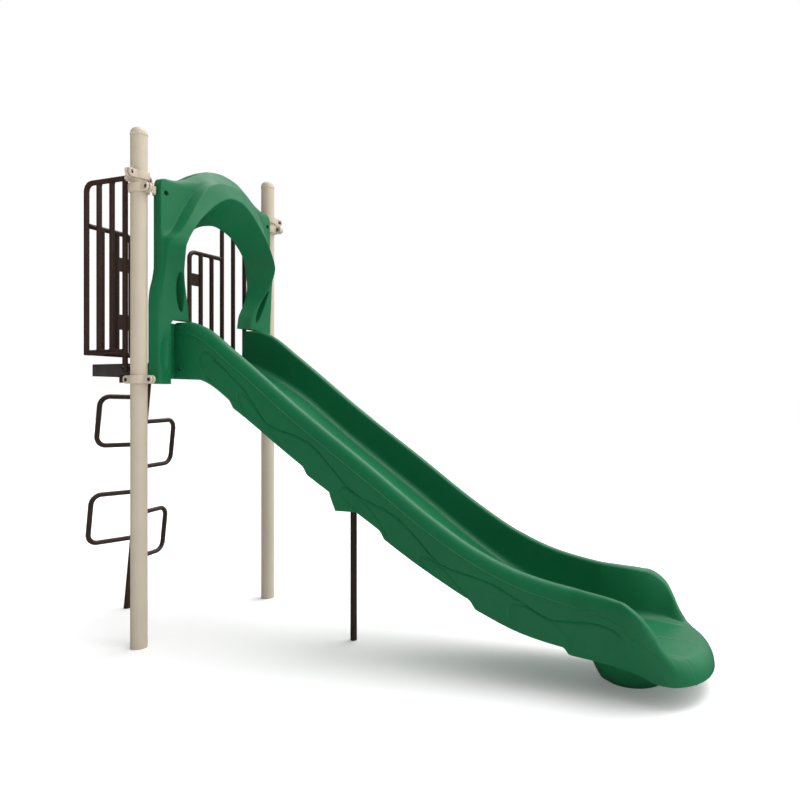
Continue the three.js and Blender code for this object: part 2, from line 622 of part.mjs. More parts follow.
// The same section set back by an inset, towards the underside.
function insetSection(x, inset) {
  const points = halfSection(x);
  return points.map(([y, z], i) => {
    const from = points[Math.max(0, i - 1)];
    const to = points[Math.min(points.length - 1, i + 1)];
    const length = Math.hypot(to[0] - from[0], to[1] - from[1]);
    const moved = [y + (inset * (to[1] - from[1])) / length, z - (inset * (to[0] - from[0])) / length];
    if (i === 0) moved[0] = 0;
    if (i === points.length - 1) moved[1] = z;
    return moved;
  });
}

// The front edge in plan: how far it reaches at a distance y from the middle.
function noseReach(y, inset) {
  const share = Math.min(1, y / (chute.lipY - inset)) ** nose.power;
  return nose.centreX + (nose.reach - inset) * (1 - share) ** (1 / nose.power);
}

// One row of the nose, a step of the way from the last straight section to the front edge.
function noseRow(step, inset) {
  const start = insetSection(chute.noseStart, inset);
  const last = start.length - 1;
  return start.map(([y], i) => {
    const behind = Math.max(0, last - i) / nose.sideLines;
    const outerY = chute.lipY - inset - 2 - nose.sideSpread * behind;
    const endY = i > last - nose.sideLines ? outerY : y * nose.taper;
    const endX = noseReach(endY, inset);
    const x = chute.noseStart + (endX - chute.noseStart) * step;
    const edge = Math.max(nose.edge, skirtZ(x));
    const near = Math.min(1, (endX - x) / nose.roll);
    const height = i === last ? 0 : (insetSection(x, inset)[i][1] - edge) * Math.sqrt(1 - (1 - near) ** 2);
    return [x, y + (endY - y) * step * step, edge + height];
  });
}

// Leans a point outwards near the exit: fully at the rim, and not at all at the skirt's lower edge.
function flared([x, y, z]) {
  const across = Math.min(1, Math.max(0, (y - flareBand.from) / flareBand.width));
  const up = Math.min(1, Math.max(0, (z - skirtZ(x)) / (rimZ(x) - skirtZ(x))));
  return [x, y + flareOut(x) * (3 * across ** 2 - 2 * across ** 3) * up, z];
}

function chuteGrid(inset) {
  const rows = chuteStations().map((x) => insetSection(x, inset).map(([y, z]) => [x, y, z]));
  for (let step = 1; step <= nose.steps; step += 1) {
    rows.push(noseRow(Math.sin((step / nose.steps) * (Math.PI / 2)), inset));
  }
  return rows.map((row) => row.map(flared)).map((half) => {
    const mirrored = half.slice(1).reverse().map(([x, y, z]) => new THREE.Vector3(x, -y, z));
    return [...mirrored, ...half.map((point) => new THREE.Vector3(...point))];
  });
}

// The stations are close together at the entry and at each step of the skirt's edge.
function chuteStations() {
  const regular = [];
  for (let x = chute.start; x < 330; x += 70) regular.push(x);
  for (let x = 380; x < chute.noseStart; x += 145) regular.push(x);
  const steps = scallops.starts.flatMap((x) => [x, x + scallops.step]);
  const exact = [...steps, boss.rampStart, boss.rampEnd, boss.end];
  const spaced = regular.filter((x) => exact.every((other) => Math.abs(other - x) > 20));
  return [...spaced, ...exact, chute.noseStart].sort((a, b) => a - b);
}

function chuteGeometry() {
  const { start, skin, lipY } = chute;
  const { half, wingHalf, wingTop, thickness, bottom, boltY, boltZ } = flange;
  const trough = shell(chuteGrid(0), chuteGrid(skin));
  const endPlate = box([start, start + thickness], [-half, half], [bottom, floorZ(start) - 2]);
  const wings = [[-wingHalf, -half], [half, wingHalf]].map((span) =>
    box([start, start + thickness], span, [bottom, wingTop]));
  const { point } = saddlePlacement();
  const tools = [rod(point(leg.boltAlong, -60).toArray(), point(leg.boltAlong, 40).toArray(), bolt.hole, 8)];
  for (const side of [-1, 1]) {
    tools.push(rod([start - 5, side * boltY, boltZ], [start + 30, side * boltY, boltZ], bolt.hole, 8));
    tools.push(rod([entryBracket.boltX, side * (lipY - 40), entryBracket.boltZ],
      [entryBracket.boltX, side * (lipY + 20), entryBracket.boltZ], bolt.hole, 8));
  }
  return cut(join(trough, endPlate, ...wings), ...tools);
}

// An angle bracket in the corner between the chute's end plate and its skirt.
function entryBracketGeometry(side) {
  const { reach, inner, z, boltX, boltZ } = entryBracket;
  const back = chute.start + flange.thickness + fit;
  const outerY = side * (chute.lipY - chute.draft - chute.skin - 1);
  const span = (a, b) => [a, b].sort((low, high) => low - high);
  const onPlate = box([back, back + plate], span(side * inner, outerY), z);
  const onSkirt = box([back, reach], span(outerY, outerY - side * plate), z);
  const plateHole = rod([back - 5, side * flange.boltY, flange.boltZ],
    [back + 20, side * flange.boltY, flange.boltZ], bolt.hole, 8);
  const skirtHole = rod([boltX, outerY - 20, boltZ], [boltX, outerY + 20, boltZ], bolt.hole, 8);
  return cut(join(onPlate, onSkirt), plateHole, skirtHole);
}

// The saddle's frame: a point at a distance along the bed's slope and a height above its underside.
function saddlePlacement() {
  const run = 20;
  const along = new THREE.Vector3(2 * run, 0, floorZ(leg.x + run) - floorZ(leg.x - run)).normalize();
  const up = new THREE.Vector3(-along.z, 0, along.x);
  const underside = new THREE.Vector3(leg.x, 0, floorZ(leg.x)).addScaledVector(up, -chute.skin - 1.5);
  return {
    along,
    up,
    point: (distance, height) =>
      underside.clone().addScaledVector(along, distance).addScaledVector(up, height),
  };
}

function saddleGeometry() {
  const { along, up, point } = saddlePlacement();
  const { saddle, saddleThickness } = leg;
  const geometry = box([-saddle / 2, saddle / 2], [-45, 45], [-saddleThickness, 0]);
  geometry.applyMatrix4(new THREE.Matrix4().makeBasis(along, new THREE.Vector3(0, 1, 0), up));
  geometry.translate(...point(0, 0).toArray());
  const hole = rod(point(leg.boltAlong, -40).toArray(), point(leg.boltAlong, 40).toArray(), bolt.hole, 8);
  return cut(geometry, hole);
}

function legGeometry() {
  const { along, up, point } = saddlePlacement();
  const tube = rod([leg.x, 0, 0], [leg.x, 0, floorZ(leg.x) + 60], leg.radius, 20);
  const above = box([-300, 300], [-80, 80], [-leg.saddleThickness - fit, 400]);
  above.applyMatrix4(new THREE.Matrix4().makeBasis(along, new THREE.Vector3(0, 1, 0), up));
  above.translate(...point(0, 0).toArray());
  return cut(tube, above);
}

function footGeometry() {
  const { topRadius, bottomRadius, top, wall, edge, stretch } = foot;
  const lean = (z) => bottomRadius + 6 + (topRadius - bottomRadius - 6) * (z / top) ** 0.85;
  const outer = [[0, 0], [bottomRadius - edge * 0.55, 0], [bottomRadius - 4, edge * 0.25]];
  for (const share of [0.12, 0.35, 0.6, 0.8, 1]) outer.push([lean(top * share), top * share]);
  const inner = [1, 0.7, 0.4].map((share) => [lean(top * share) - wall, top * share]);
  const profile = [...outer, ...inner, [bottomRadius - 20, wall + 4], [0, wall]];
  return turned(profile, 24).scale(stretch, 1, 1).translate(foot.x, 0, 0);
}

// ---- Assembly ----
const words = { [-1]: "right", 1: "left" };
for (const side of [-1, 1]) {
  const word = words[side];
  addPart(`post_${word}`, postGeometry(), materials.posts).position.y = side * post.half;
  addPart(`post_cap_${word}`, capGeometry(), materials.posts).position.y = side * post.half;
  addClamps(side, word);
  addPart(`side_barrier_${word}`, sideBarrier(side), materials.steelwork);
  addPart(`rear_barrier_${word}`, rearBarrier(side), materials.steelwork);
  addPart(`deck_bracket_${word}`, deckBracket(side), materials.steelwork);
  addPart(`hood_bracket_${word}`, hoodBracket(side), materials.posts);
  addBolt(`barrier_foot_bolt_${word}`, [barrier.inner, side * (post.half + bar.radius + fit), 1600],
    [0, -side, 0], post.half + bar.radius - deck.half + deck.skin + 2 * fit);
  addBolt(`hood_bolt_${word}`, [hood.counterboreFloor + fit, side * hood.boltY, hood.boltZ], [-1, 0, 0],
    hood.counterboreFloor - 21 + 2 * fit);
  addBolt(`hood_leg_bolt_${word}`, [deck.front - deck.skin - fit, side * hood.legBoltY, hood.legBoltZ],
    [1, 0, 0], 32);
  addPart(`chute_bracket_${word}`, entryBracketGeometry(side), materials.steelwork);
  const flangeFace = chute.start + flange.thickness + plate;
  addBolt(`chute_bolt_${word}`, [flangeFace + 2 * fit, side * flange.boltY, flange.boltZ],
    [-1, 0, 0], flangeFace - deck.front + deck.skin + 3 * fit);
  addBolt(`chute_side_bolt_${word}`, [entryBracket.boltX, side * (chute.lipY + fit), entryBracket.boltZ],
    [0, -side, 0], chute.draft + chute.skin + 1 + plate + 2 * fit);
  addBolt(`ladder_bracket_bolt_${word}`,
    [deck.rear - fit - plate - fit, side * ladderBracket.boltY, ladderBracket.boltZ], [1, 0, 0],
    plate + deck.skin + 3 * fit);
}
addPart("deck", deckGeometry(), materials.deckCoat);
addPart("hood", hoodGeometry(), materials.moulding);
addPart("ladder_pole", poleGeometry(), materials.steelwork);
for (const [name, span] of Object.entries(loopSpans)) addPart(name, ladderLoop(span), materials.steelwork);
addPart("ladder_bracket", ladderBracketGeometry(), materials.steelwork);
const cheekFace = ladder.radius + 1 + plate + fit;
addBolt("ladder_cross_bolt", [onPole(ladder.topZ / poleAxis.z).x - 4, -cheekFace, 1585],
  [0, 1, 0], 2 * cheekFace);
addPart("chute", chuteGeometry(), materials.moulding);
addPart("chute_foot", footGeometry(), materials.moulding);
addPart("support_leg", legGeometry(), materials.steelwork);
addPart("leg_saddle", saddleGeometry(), materials.steelwork);
const saddle = saddlePlacement();
const boltTop = chute.skin + 4;
addBolt("leg_saddle_bolt", saddle.point(leg.boltAlong, boltTop).toArray(),
  saddle.up.clone().negate().toArray(), boltTop + leg.saddleThickness + fit);

// The origin is at ground level under the middle of the whole object's box.
slide.updateMatrixWorld(true);
const extent = new THREE.Box3().setFromObject(slide, true);
slide.position.set(-(extent.min.x + extent.max.x) / 2, -(extent.min.y + extent.max.y) / 2, -extent.min.z);

export default slide;
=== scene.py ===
"""Looks for the free-standing wave slide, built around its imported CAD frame.

Shapes are worked out in millimetres with the posts at X = 0 and the chute towards +X. The function
place() moves them into the frame, which is in metres.
"""
import math

import bmesh
import bpy
import numpy as np
from mathutils import Matrix, Vector


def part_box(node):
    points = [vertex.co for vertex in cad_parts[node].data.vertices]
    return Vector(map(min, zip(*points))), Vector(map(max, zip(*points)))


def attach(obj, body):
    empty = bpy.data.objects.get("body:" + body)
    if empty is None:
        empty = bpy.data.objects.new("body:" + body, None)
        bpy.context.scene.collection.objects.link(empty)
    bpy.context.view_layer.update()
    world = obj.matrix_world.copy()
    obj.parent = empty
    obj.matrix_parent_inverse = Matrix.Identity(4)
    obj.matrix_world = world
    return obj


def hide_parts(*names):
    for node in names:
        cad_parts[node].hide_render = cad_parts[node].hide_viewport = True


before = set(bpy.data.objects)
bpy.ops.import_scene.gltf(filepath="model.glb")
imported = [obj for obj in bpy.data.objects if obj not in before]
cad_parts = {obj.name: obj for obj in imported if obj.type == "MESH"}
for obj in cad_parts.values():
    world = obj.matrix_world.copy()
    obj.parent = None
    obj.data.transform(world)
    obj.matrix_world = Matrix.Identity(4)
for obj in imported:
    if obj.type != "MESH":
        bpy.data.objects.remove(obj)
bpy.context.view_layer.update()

MM = 0.001
post_low, post_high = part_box("post_right")
PLANE = (post_low.x + post_high.x) / 2

# ---- Sizes that follow the CAD, in millimetres ----
POST_Y, POST_R, POST_WALL, POST_TOP = 545, 44.45, 3.2, 2921
CLAMP_Z = {"barrier": 2690, "hood": 2618, "deck": 1530}
CLAMP_TURN = {"barrier": -17, "hood": 12, "deck": 0}
CLAMP_R, CLAMP_H, EAR_REACH, EAR_T, SLIT, BOLT_X = 56, 47, 110, 13, 3.3, 88
SOCKET_R, SOCKET_REACH = 21, 89
DECK_REAR, DECK_FRONT, DECK_HALF, DECK_TOP, DECK_DEPTH = -435, 24, 495, 1626, 72
BAR_R, PITCH, BAR_BEND = 15, 102.5, 48
REAR_X, INNER_X, SIDE_TOP, REAR_TOP, BAR_BOTTOM = -413.5, -106, 2690, 2444, 1692
POLE_FOOT, POLE_TOP, POLE_R = Vector((-721, 0, 0)), Vector((-532, 0, 1600)), 22
LOOPS = {
    "ladder_loop_top_right": (1123, 1439, -1), "ladder_loop_top_left": (966, 1274, 1),
    "ladder_loop_bottom_right": (488, 803, -1), "ladder_loop_bottom_left": (336, 646, 1),
}
CHUTE_START, NOSE_START, SKIN = 26, 2735, 8
CREST_Y, CREST_R, LIP_Y, LIP_RISE, LEAF_RISE = 290, 22, 332, 3.5, 4.5
BED_HALF, BED_R = 252, 48
NOSE_X, NOSE_REACH, NOSE_POWER, NOSE_ROLL, NOSE_EDGE = 2860, 262, 2.2, 75, 100
LEG_X = 1074
POLE_RISE, LOOP_SWING, LOOP_REACH, LOOP_BEND = 1555, 80, 306, 62
HOOD_BOLT_Y, HOOD_BOLT_Z, LEG_BOLT_Y, LEG_BOLT_Z = 435, 2614, 450, 1590
SLOT_Y, SLOT_Z, SLOT_HALF_WIDTH, SLOT_HALF_LENGTH, SLOT_LEAN = 353, 2048, 26, 118, 15
HOLLOW_Y, HOLLOW_Z, HOLLOW_HALF_WIDTH, HOLLOW_HALF_HEIGHT, HOLLOW_DEPTH = 443, 1672, 29, 106, 9
FOOT_X, FOOT_HEIGHT, FOOT_SKIN, FOOT_STRETCH = 2725, 216, 9, 1.16


def smooth_line(pairs):
    """A smooth line through (x, value) pairs, with no overshoot between them."""
    xs, vs = (np.array(c, float) for c in zip(*pairs))
    run = np.diff(xs)
    rate = np.diff(vs) / run
    slope = np.zeros(len(xs))
    turning = rate[:-1] * rate[1:] > 0
    safe = np.where(turning, rate[:-1] + rate[1:], 1)
    slope[1:-1] = np.where(turning, 2 * rate[:-1] * rate[1:] / safe, 0)

    def value(x):
        x = np.asarray(x, float)
        i = np.clip(np.searchsorted(xs, x, side="right") - 1, 0, len(xs) - 2)
        t = np.clip((x - xs[i]) / run[i], 0, 1)
        ends = vs[i] * (2 * t**3 - 3 * t**2 + 1) + vs[i + 1] * (3 * t**2 - 2 * t**3)
        return ends + run[i] * (slope[i] * (t**3 - 2 * t**2 + t) + slope[i + 1] * (t**3 - t**2))

    return value


rim_z = smooth_line([
    (0, 1878), (120, 1878), (230, 1848), (466, 1694), (925, 1361), (1354, 1071), (1754, 797), (2007, 653),
    (2249, 562), (2482, 516), (2600, 502), (2680, 493), (2735, 485), (3200, 479)])
floor_z = smooth_line([
    (0, 1626), (110, 1624), (230, 1583), (466, 1468), (925, 1148), (1354, 857), (1754, 580), (2007, 430),
    (2249, 325), (2482, 262), (2735, 238), (2950, 229), (3080, 212), (3200, 200)])
skirt_depth = smooth_line([
    (0, 337), (120, 339), (240, 316), (440, 300), (900, 298), (1450, 288), (1950, 270), (2300, 284),
    (2600, 297), (2735, 308), (2828, 333), (2882, 355), (2984, 373), (3200, 374)])
rim_share = smooth_line([
    (2735, 1), (2762, 0.965), (2800, 0.875), (2840, 0.735), (2880, 0.49), (2920, 0.2), (2960, 0.04),
    (3010, 0), (3200, 0)])
flare_out = smooth_line([
    (2480, 0), (2560, 16), (2640, 32), (2720, 53), (2800, 85), (2840, 92), (2880, 77), (2920, 55), (2960, 28),
    (3010, 0), (3200, 0)])
lip_depth = smooth_line([
    (0, 60), (120, 66), (300, 84), (900, 86), (1700, 80), (2000, 72), (2340, 75), (2539, 79), (2638, 85),
    (2681, 93), (2721, 104), (2760, 118), (2830, 150), (3200, 170)])
lip_height = smooth_line([(0, 0.2), (90, 1), (2680, 1), (2740, 0.5), (2800, 0), (3200, 0)])
wave_depth = smooth_line([
    (0, 150), (250, 128), (369, 135), (520, 150), (610, 178), (700, 230), (800, 200), (910, 150), (1021, 129),
    (1140, 160), (1270, 196), (1390, 172), (1480, 142), (1560, 131), (1670, 153), (1790, 187), (1890, 160),
    (1990, 128), (2090, 111), (2230, 128), (2330, 159), (2377, 167), (2437, 159), (2538, 139), (2620, 126),
    (2695, 131), (2734, 150), (2752, 175), (2790, 230), (3200, 240)])
wave_height = smooth_line([(230, 0), (330, 1), (2700, 1), (2770, 0), (3200, 0)])
LEAF_LINES = [
    [(300, 286), (262, 262), (229, 219), (230, 176), (256, 140), (300, 127), (369, 137)],
    [(560, 300), (520, 262), (505, 232), (520, 205), (560, 195), (620, 208), (700, 238), (760, 268),
     (800, 292)],
    [(1290, 290), (1246, 286), (1205, 270), (1200, 240), (1235, 208), (1300, 201), (1370, 216), (1440, 252),
     (1490, 285)],
    [(1730, 284), (1692, 268), (1682, 246), (1707, 218), (1760, 206), (1830, 212), (1900, 240), (1950, 268)],
    [(2182, 244), (2172, 205), (2196, 165), (2262, 148), (2338, 163), (2409, 184), (2458, 219), (2492, 254)],
]
SCALLOPS = [440, 950, 1440, 1962, 2450]
SCALLOP_STEP, SCALLOP_LENGTH, SCALLOP_DROP = 34, 490, 26
BOSS = (1126, 1165, 1312, 903, 811)


def skirt_z(x):
    """The height of the skirt's lower edge, with its steps and the boss over the leg."""
    x = np.asarray(x, float)
    start = np.array(SCALLOPS, float)[np.clip(np.searchsorted(SCALLOPS, x, side="right") - 1, 0, 4)]
    along = x - start
    rise = np.clip(along / SCALLOP_STEP, 0, 1)
    fade = np.clip(1 - np.clip(along - SCALLOP_STEP, 0, None) / (SCALLOP_LENGTH - SCALLOP_STEP), 0, 1)
    stepped = (along >= 0) & (along < SCALLOP_LENGTH)
    drop = np.where(stepped, SCALLOP_DROP * (3 * rise**2 - 2 * rise**3) * fade, 0)
    edge = rim_z(x) - skirt_depth(x) - drop
    ramp_start, ramp_end, end, top, bottom = BOSS
    boss = top + (bottom - top) * np.clip((x - ramp_start) / (ramp_end - ramp_start), 0, 1)
    return np.where((x > ramp_start) & (x < end), np.minimum(edge, boss), edge)


def flared(x, y, z):
    """How far out a point lies once the rim leans outwards near the exit."""
    up = np.clip((z - skirt_z(x)) / (rim_z(x) - skirt_z(x)), 0, 1)
    return y + flare_out(x) * smooth_step((y - 190) / 110) * up


def smooth_step(t):
    t = np.clip(t, 0, 1)
    return t * t * (3 - 2 * t)


# ---- Materials ----
def set_stops(node, stops):
    """Gives a colour ramp its (position, colour) stops."""
    elements = node.color_ramp.elements
    while len(elements) < len(stops):
        elements.new(0.5)
    for element, (position, colour) in zip(elements, stops):
        element.position = position
        element.color = (*colour, 1)


def procedural(name, base, roughness, variation=0.06, cloud=3.0, grain=900.0, bump=0.12, depth=0.0004,
               metallic=0.0, specular=0.5, scuff=0.0):
    """A finish with a slow drift of colour, a fine surface grain and, where asked for, scuffs."""
    material = bpy.data.materials.new(name)
    material.use_nodes = True
    nodes, links = material.node_tree.nodes, material.node_tree.links
    shader = nodes["Principled BSDF"]
    shader.inputs["Metallic"].default_value = metallic
    shader.inputs["Specular IOR Level"].default_value = specular
    where = nodes.new("ShaderNodeTexCoord").outputs["Object"]

    def noise(scale, detail):
        node = nodes.new("ShaderNodeTexNoise")
        node.inputs["Scale"].default_value = scale
        node.inputs["Detail"].default_value = detail
        links.new(where, node.inputs["Vector"])
        return node.outputs["Fac"]

    def ramp(source, stops):
        node = nodes.new("ShaderNodeValToRGB")
        set_stops(node, stops)
        links.new(source, node.inputs["Fac"])
        return node.outputs["Color"]

    def tinted(factor):
        return tuple(min(1, c * factor) for c in base)

    colour = ramp(noise(cloud, 5), [(0.3, tinted(1 - variation)), (0.5, base), (0.72, tinted(1 + variation))])
    if scuff:
        marks = ramp(noise(38, 9), [(0.6, (0, 0, 0)), (0.74, (scuff, scuff, scuff))])
        mix = nodes.new("ShaderNodeMix")
        mix.data_type = "RGBA"
        links.new(marks, mix.inputs[0])
        links.new(colour, mix.inputs[6])
        mix.inputs[7].default_value = (*tinted(1.5), 1)
        colour = mix.outputs[2]
    links.new(colour, shader.inputs["Base Color"])
    low, high = max(0.05, roughness - 0.05), roughness + 0.07
    dullness = ramp(noise(cloud * 7, 6), [(0.35, (low,) * 3), (0.65, (high,) * 3)])
    links.new(dullness, shader.inputs["Roughness"])
    bumps = nodes.new("ShaderNodeBump")
    bumps.inputs["Strength"].default_value = bump
    bumps.inputs["Distance"].default_value = depth
    links.new(noise(grain, 3), bumps.inputs["Height"])
    links.new(bumps.outputs["Normal"], shader.inputs["Normal"])
    return material


FINISHES = {
    "green_moulding": procedural("moulded_green", (0.006, 0.138, 0.052), 0.38, variation=0.07, cloud=2.2,
                                 grain=620, bump=0.16, depth=0.0006, specular=0.27, scuff=0.04),
    "beige_powder_coat": procedural("beige_powder_coat", (0.53, 0.46, 0.36), 0.42, variation=0.03, cloud=5,
                                    grain=1400, bump=0.2, depth=0.0004, specular=0.4),
    "brown_powder_coat": procedural("brown_powder_coat", (0.045, 0.023, 0.0155), 0.42, variation=0.12,
                                    cloud=9, grain=1400, bump=0.22, depth=0.0004, specular=0.3),
    "deck_coating": procedural("deck_coating", (0.052, 0.045, 0.043), 0.62, variation=0.14, cloud=14,
                               grain=420, bump=0.45, depth=0.0007, specular=0.3),
    "fasteners": procedural("zinc_fasteners", (0.12, 0.12, 0.125), 0.4, variation=0.15, cloud=60,
                            grain=2200, bump=0.15, depth=0.0002, metallic=0.9),
}


# ---- Meshes ----
def full_turn(count):
    """Angles evenly round a circle."""
    return [2 * math.pi * k / count for k in range(count)]


def place(points):
    """Millimetres about the posts' plane, as metres in the frame."""
    moved = np.asarray(points, float) * MM
    moved[:, 0] += PLANE
    return moved


class Body:
    """Vertices and faces in millimetres, gathered from one or more closed shapes."""

    def __init__(self, points=(), faces=()):
        self.points = [Vector(p) for p in points]
        self.faces = [tuple(f) for f in faces]

    def add(self, other):
        shift = len(self.points)
        self.points += other.points
        self.faces += [tuple(i + shift for i in face) for face in other.faces]
        return self

    def moved(self, matrix):
        return Body([matrix @ p for p in self.points], [
            f if matrix.determinant() > 0 else f[::-1] for f in self.faces])


def gather(shapes):
    whole = Body()
    for shape in shapes:
        whole.add(shape)
    return whole


def to_object(name, body, sharp=32):
    mesh = bpy.data.meshes.new(name)
    mesh.from_pydata([tuple(p) for p in place([tuple(p) for p in body.points])], [], body.faces)
    work = bmesh.new()
    work.from_mesh(mesh)
    bmesh.ops.recalc_face_normals(work, faces=work.faces)
    work.to_mesh(mesh)
    work.free()
    piece = bpy.data.objects.new(name, mesh)
    bpy.context.scene.collection.objects.link(piece)
    shade(piece, sharp)
    return piece


def shade(piece, sharp):
    mesh = piece.data
    mesh.polygons.foreach_set("use_smooth", [True] * len(mesh.polygons))
    mesh.set_sharp_from_angle(angle=math.radians(sharp))


def publish(piece, slot, *nodes):
    """Gives a piece its finish, hangs it under the root body and hides the CAD nodes that it stands for."""
    piece.data.materials.clear()
    piece.data.materials.append(FINISHES[slot])
    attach(piece, "root")
    if nodes:
        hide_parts(*nodes)
    return piece


def show(name, body, slot, nodes=None, sharp=32):
    return publish(to_object(name, body, sharp), slot, *([name] if nodes is None else nodes))


def settle(piece):
    """Applies a piece's modifiers to its mesh."""
    graph = bpy.context.evaluated_depsgraph_get()
    mesh = bpy.data.meshes.new_from_object(piece.evaluated_get(graph))
    piece.modifiers.clear()
    piece.data = mesh
    return piece


def carve(piece, tools, operation="DIFFERENCE", soften=0.0, sharp=32):
    """Cuts tools out of a piece, or keeps what they share, and rounds the new edges."""
    for body in tools:
        tool = to_object("tool", body)
        cutter = piece.modifiers.new("cut", "BOOLEAN")
        cutter.operation, cutter.solver, cutter.object = operation, "EXACT", tool
        settle(piece)
        bpy.data.objects.remove(tool)
    if soften:
        round_edges(piece, soften, 3, 38)
    shade(piece, sharp)
    return piece


def round_edges(piece, width, segments=2, angle=30):
    bevel = piece.modifiers.new("edges", "BEVEL")
    bevel.width, bevel.segments, bevel.limit_method = width * MM, segments, "ANGLE"
    bevel.angle_limit = math.radians(angle)
    bevel.use_clamp_overlap = True
    return settle(piece)


def rings_to_body(rings, cap=True, closed=False):
    """A body lofted through rings of equal length. Closed joins the last ring to the first."""
    size, count = len(rings[0]), len(rings)
    faces = []
    for row in range(count if closed else count - 1):
        low, high = row * size, (row + 1) % count * size
        faces += [(low + i, low + (i + 1) % size, high + (i + 1) % size, high + i) for i in range(size)]
    if cap and not closed:
        faces.append(tuple(range(size))[::-1])
        faces.append(tuple(range((count - 1) * size, count * size)))
    return Body([p for ring in rings for p in ring], faces)


def axis_frame(direction):
    """A matrix that turns +Z to a direction."""
    return Vector((0, 0, 1)).rotation_difference(Vector(direction).normalized()).to_matrix().to_4x4()


def lathe(profile, sides=48, origin=(0, 0, 0), direction=(0, 0, 1), closed=False):
    """A turned body. The profile is (radius, height) pairs; closed joins its ends, as for a tube."""
    rings = []
    for radius, height in profile:
        radius = max(radius, 0.01)
        rings.append([Vector((radius * math.cos(a), radius * math.sin(a), height))
                      for a in full_turn(sides)])
    body = rings_to_body(rings, cap=not closed, closed=closed)
    return body.moved(Matrix.Translation(Vector(origin)) @ axis_frame(direction))


def arc_path(corners, bend, steps=9):
    """A line through corners, with a circular arc at each one."""
    corners = [Vector(c) for c in corners]
    path = [corners[0]]
    for before, corner, after in zip(corners, corners[1:], corners[2:]):
        a, b = (before - corner).normalized(), (after - corner).normalized()
        half = a.angle(b) / 2
        radius = bend * math.tan(half)
        centre = corner + (a + b).normalized() * (radius / math.sin(half))
        start, end = corner + a * bend - centre, corner + b * bend - centre
        turn = start.angle(end)
        for t in (i / steps for i in range(steps + 1)):
            blend = start * math.sin((1 - t) * turn) + end * math.sin(t * turn)
            path.append(centre + blend / math.sin(turn))
    return path + [corners[-1]]


def tube(path, radius, sides=16, rounded=0.0):
    """A round bar along a line, with flat or slightly rounded ends."""
    path = [Vector(p) for p in path]
    heading = (path[1] - path[0]).normalized()
    side = heading.orthogonal().normalized()
    rings = []
    last = len(path) - 1
    for i, point in enumerate(path):
        ahead = (path[min(i + 1, last)] - path[max(i - 1, 0)]).normalized()
        side = heading.rotation_difference(ahead) @ side
        heading = ahead
        other = heading.cross(side)
        stations = [(point, radius)]
        if rounded and i == 0:
            stations = [(point, radius - rounded), (point + heading * rounded, radius)]
        elif rounded and i == last:
            stations = [(point - heading * rounded, radius), (point, radius - rounded)]
        for centre, r in stations:
            rings.append([centre + side * (r * math.cos(a)) + other * (r * math.sin(a))
                          for a in full_turn(sides)])
    return rings_to_body(rings)


def weld(point, direction, radius, size=3.2):
    """The bead of weld where a bar meets another."""
    profile = [(radius - 2, -size), (radius + size * 0.55, -size * 0.6), (radius + size * 0.8, 0),
               (radius + size * 0.5, size * 0.7), (radius - 2, size)]
    return lathe(profile, 20, point, direction, closed=True)


def prism(outline, low, high):
    """An outline in X and Y, drawn up from one height to another."""
    return rings_to_body([[Vector((x, y, z)) for x, y in outline] for z in (low, high)])


def block(x, y, z):
    return prism([(x[0], y[0]), (x[1], y[0]), (x[1], y[1]), (x[0], y[1])], *z)


def show_softened(name, body, width, slot="brown_powder_coat"):
    piece = to_object(name, body)
    round_edges(piece, width)
    shade(piece, 40)
    publish(piece, slot, name)


def mirror_y(body, side):
    """The body as it is for side 1, and mirrored across Y = 0 for side -1."""
    return body if side > 0 else body.moved(Matrix.Diagonal((1, -1, 1, 1)))


SIDES = ((-1, "right"), (1, "left"))


# ---- Bolts ----
def bolt_body(origin, direction, grip):
    """A button-head bolt with a socket, a shank and a dome nut."""
    head, nut = 10.5, 9.5
    dome = [(0, -3.2), (2.6, -3.2), (3.2, -6.2), (5.2, -6.6), (7.6, -5.6), (9.4, -3.6), (head - 0.3, -1.4),
            (head, -0.6), (head, 0)]
    shank = [(5, 0), (5, grip)]
    tail = [(nut, grip), (nut + 0.4, grip + 0.8), (nut, grip + 4.2), (nut * 0.72, grip + 6), (0, grip + 6.4)]
    return lathe(dome + shank + tail, 24, origin, direction)


def add_bolt(name, origin, direction, grip):
    show(name, bolt_body(origin, direction, grip), "fasteners", sharp=40)


# ---- Posts, caps and clamps ----
def post_body(y):
    inner = POST_R - POST_WALL
    profile = [(inner, 0), (POST_R - 0.6, 0), (POST_R, 0.8), (POST_R, POST_TOP - 0.8),
               (POST_R - 0.8, POST_TOP), (inner, POST_TOP)]
    return lathe(profile, 72, (0, y, 0), closed=True)


def cap_body(y):
    base = POST_TOP + 0.3
    profile = [(0, base - 40), (38, base - 40), (40.5, base - 37), (40.5, base), (45.4, base + 0.2),
               (47, base + 2), (47.2, base + 4.5), (46.4, base + 6.8), (44.9, base + 8), (44.4, base + 9.5),
               (44.2, base + 12)]
    for step in range(1, 12):
        angle = step / 11 * math.pi / 2
        profile.append((44.2 * math.cos(angle) ** 0.8, base + 12 + 34.4 * math.sin(angle) ** 1.1))
    return lathe(profile, 56, (0, y, 0))


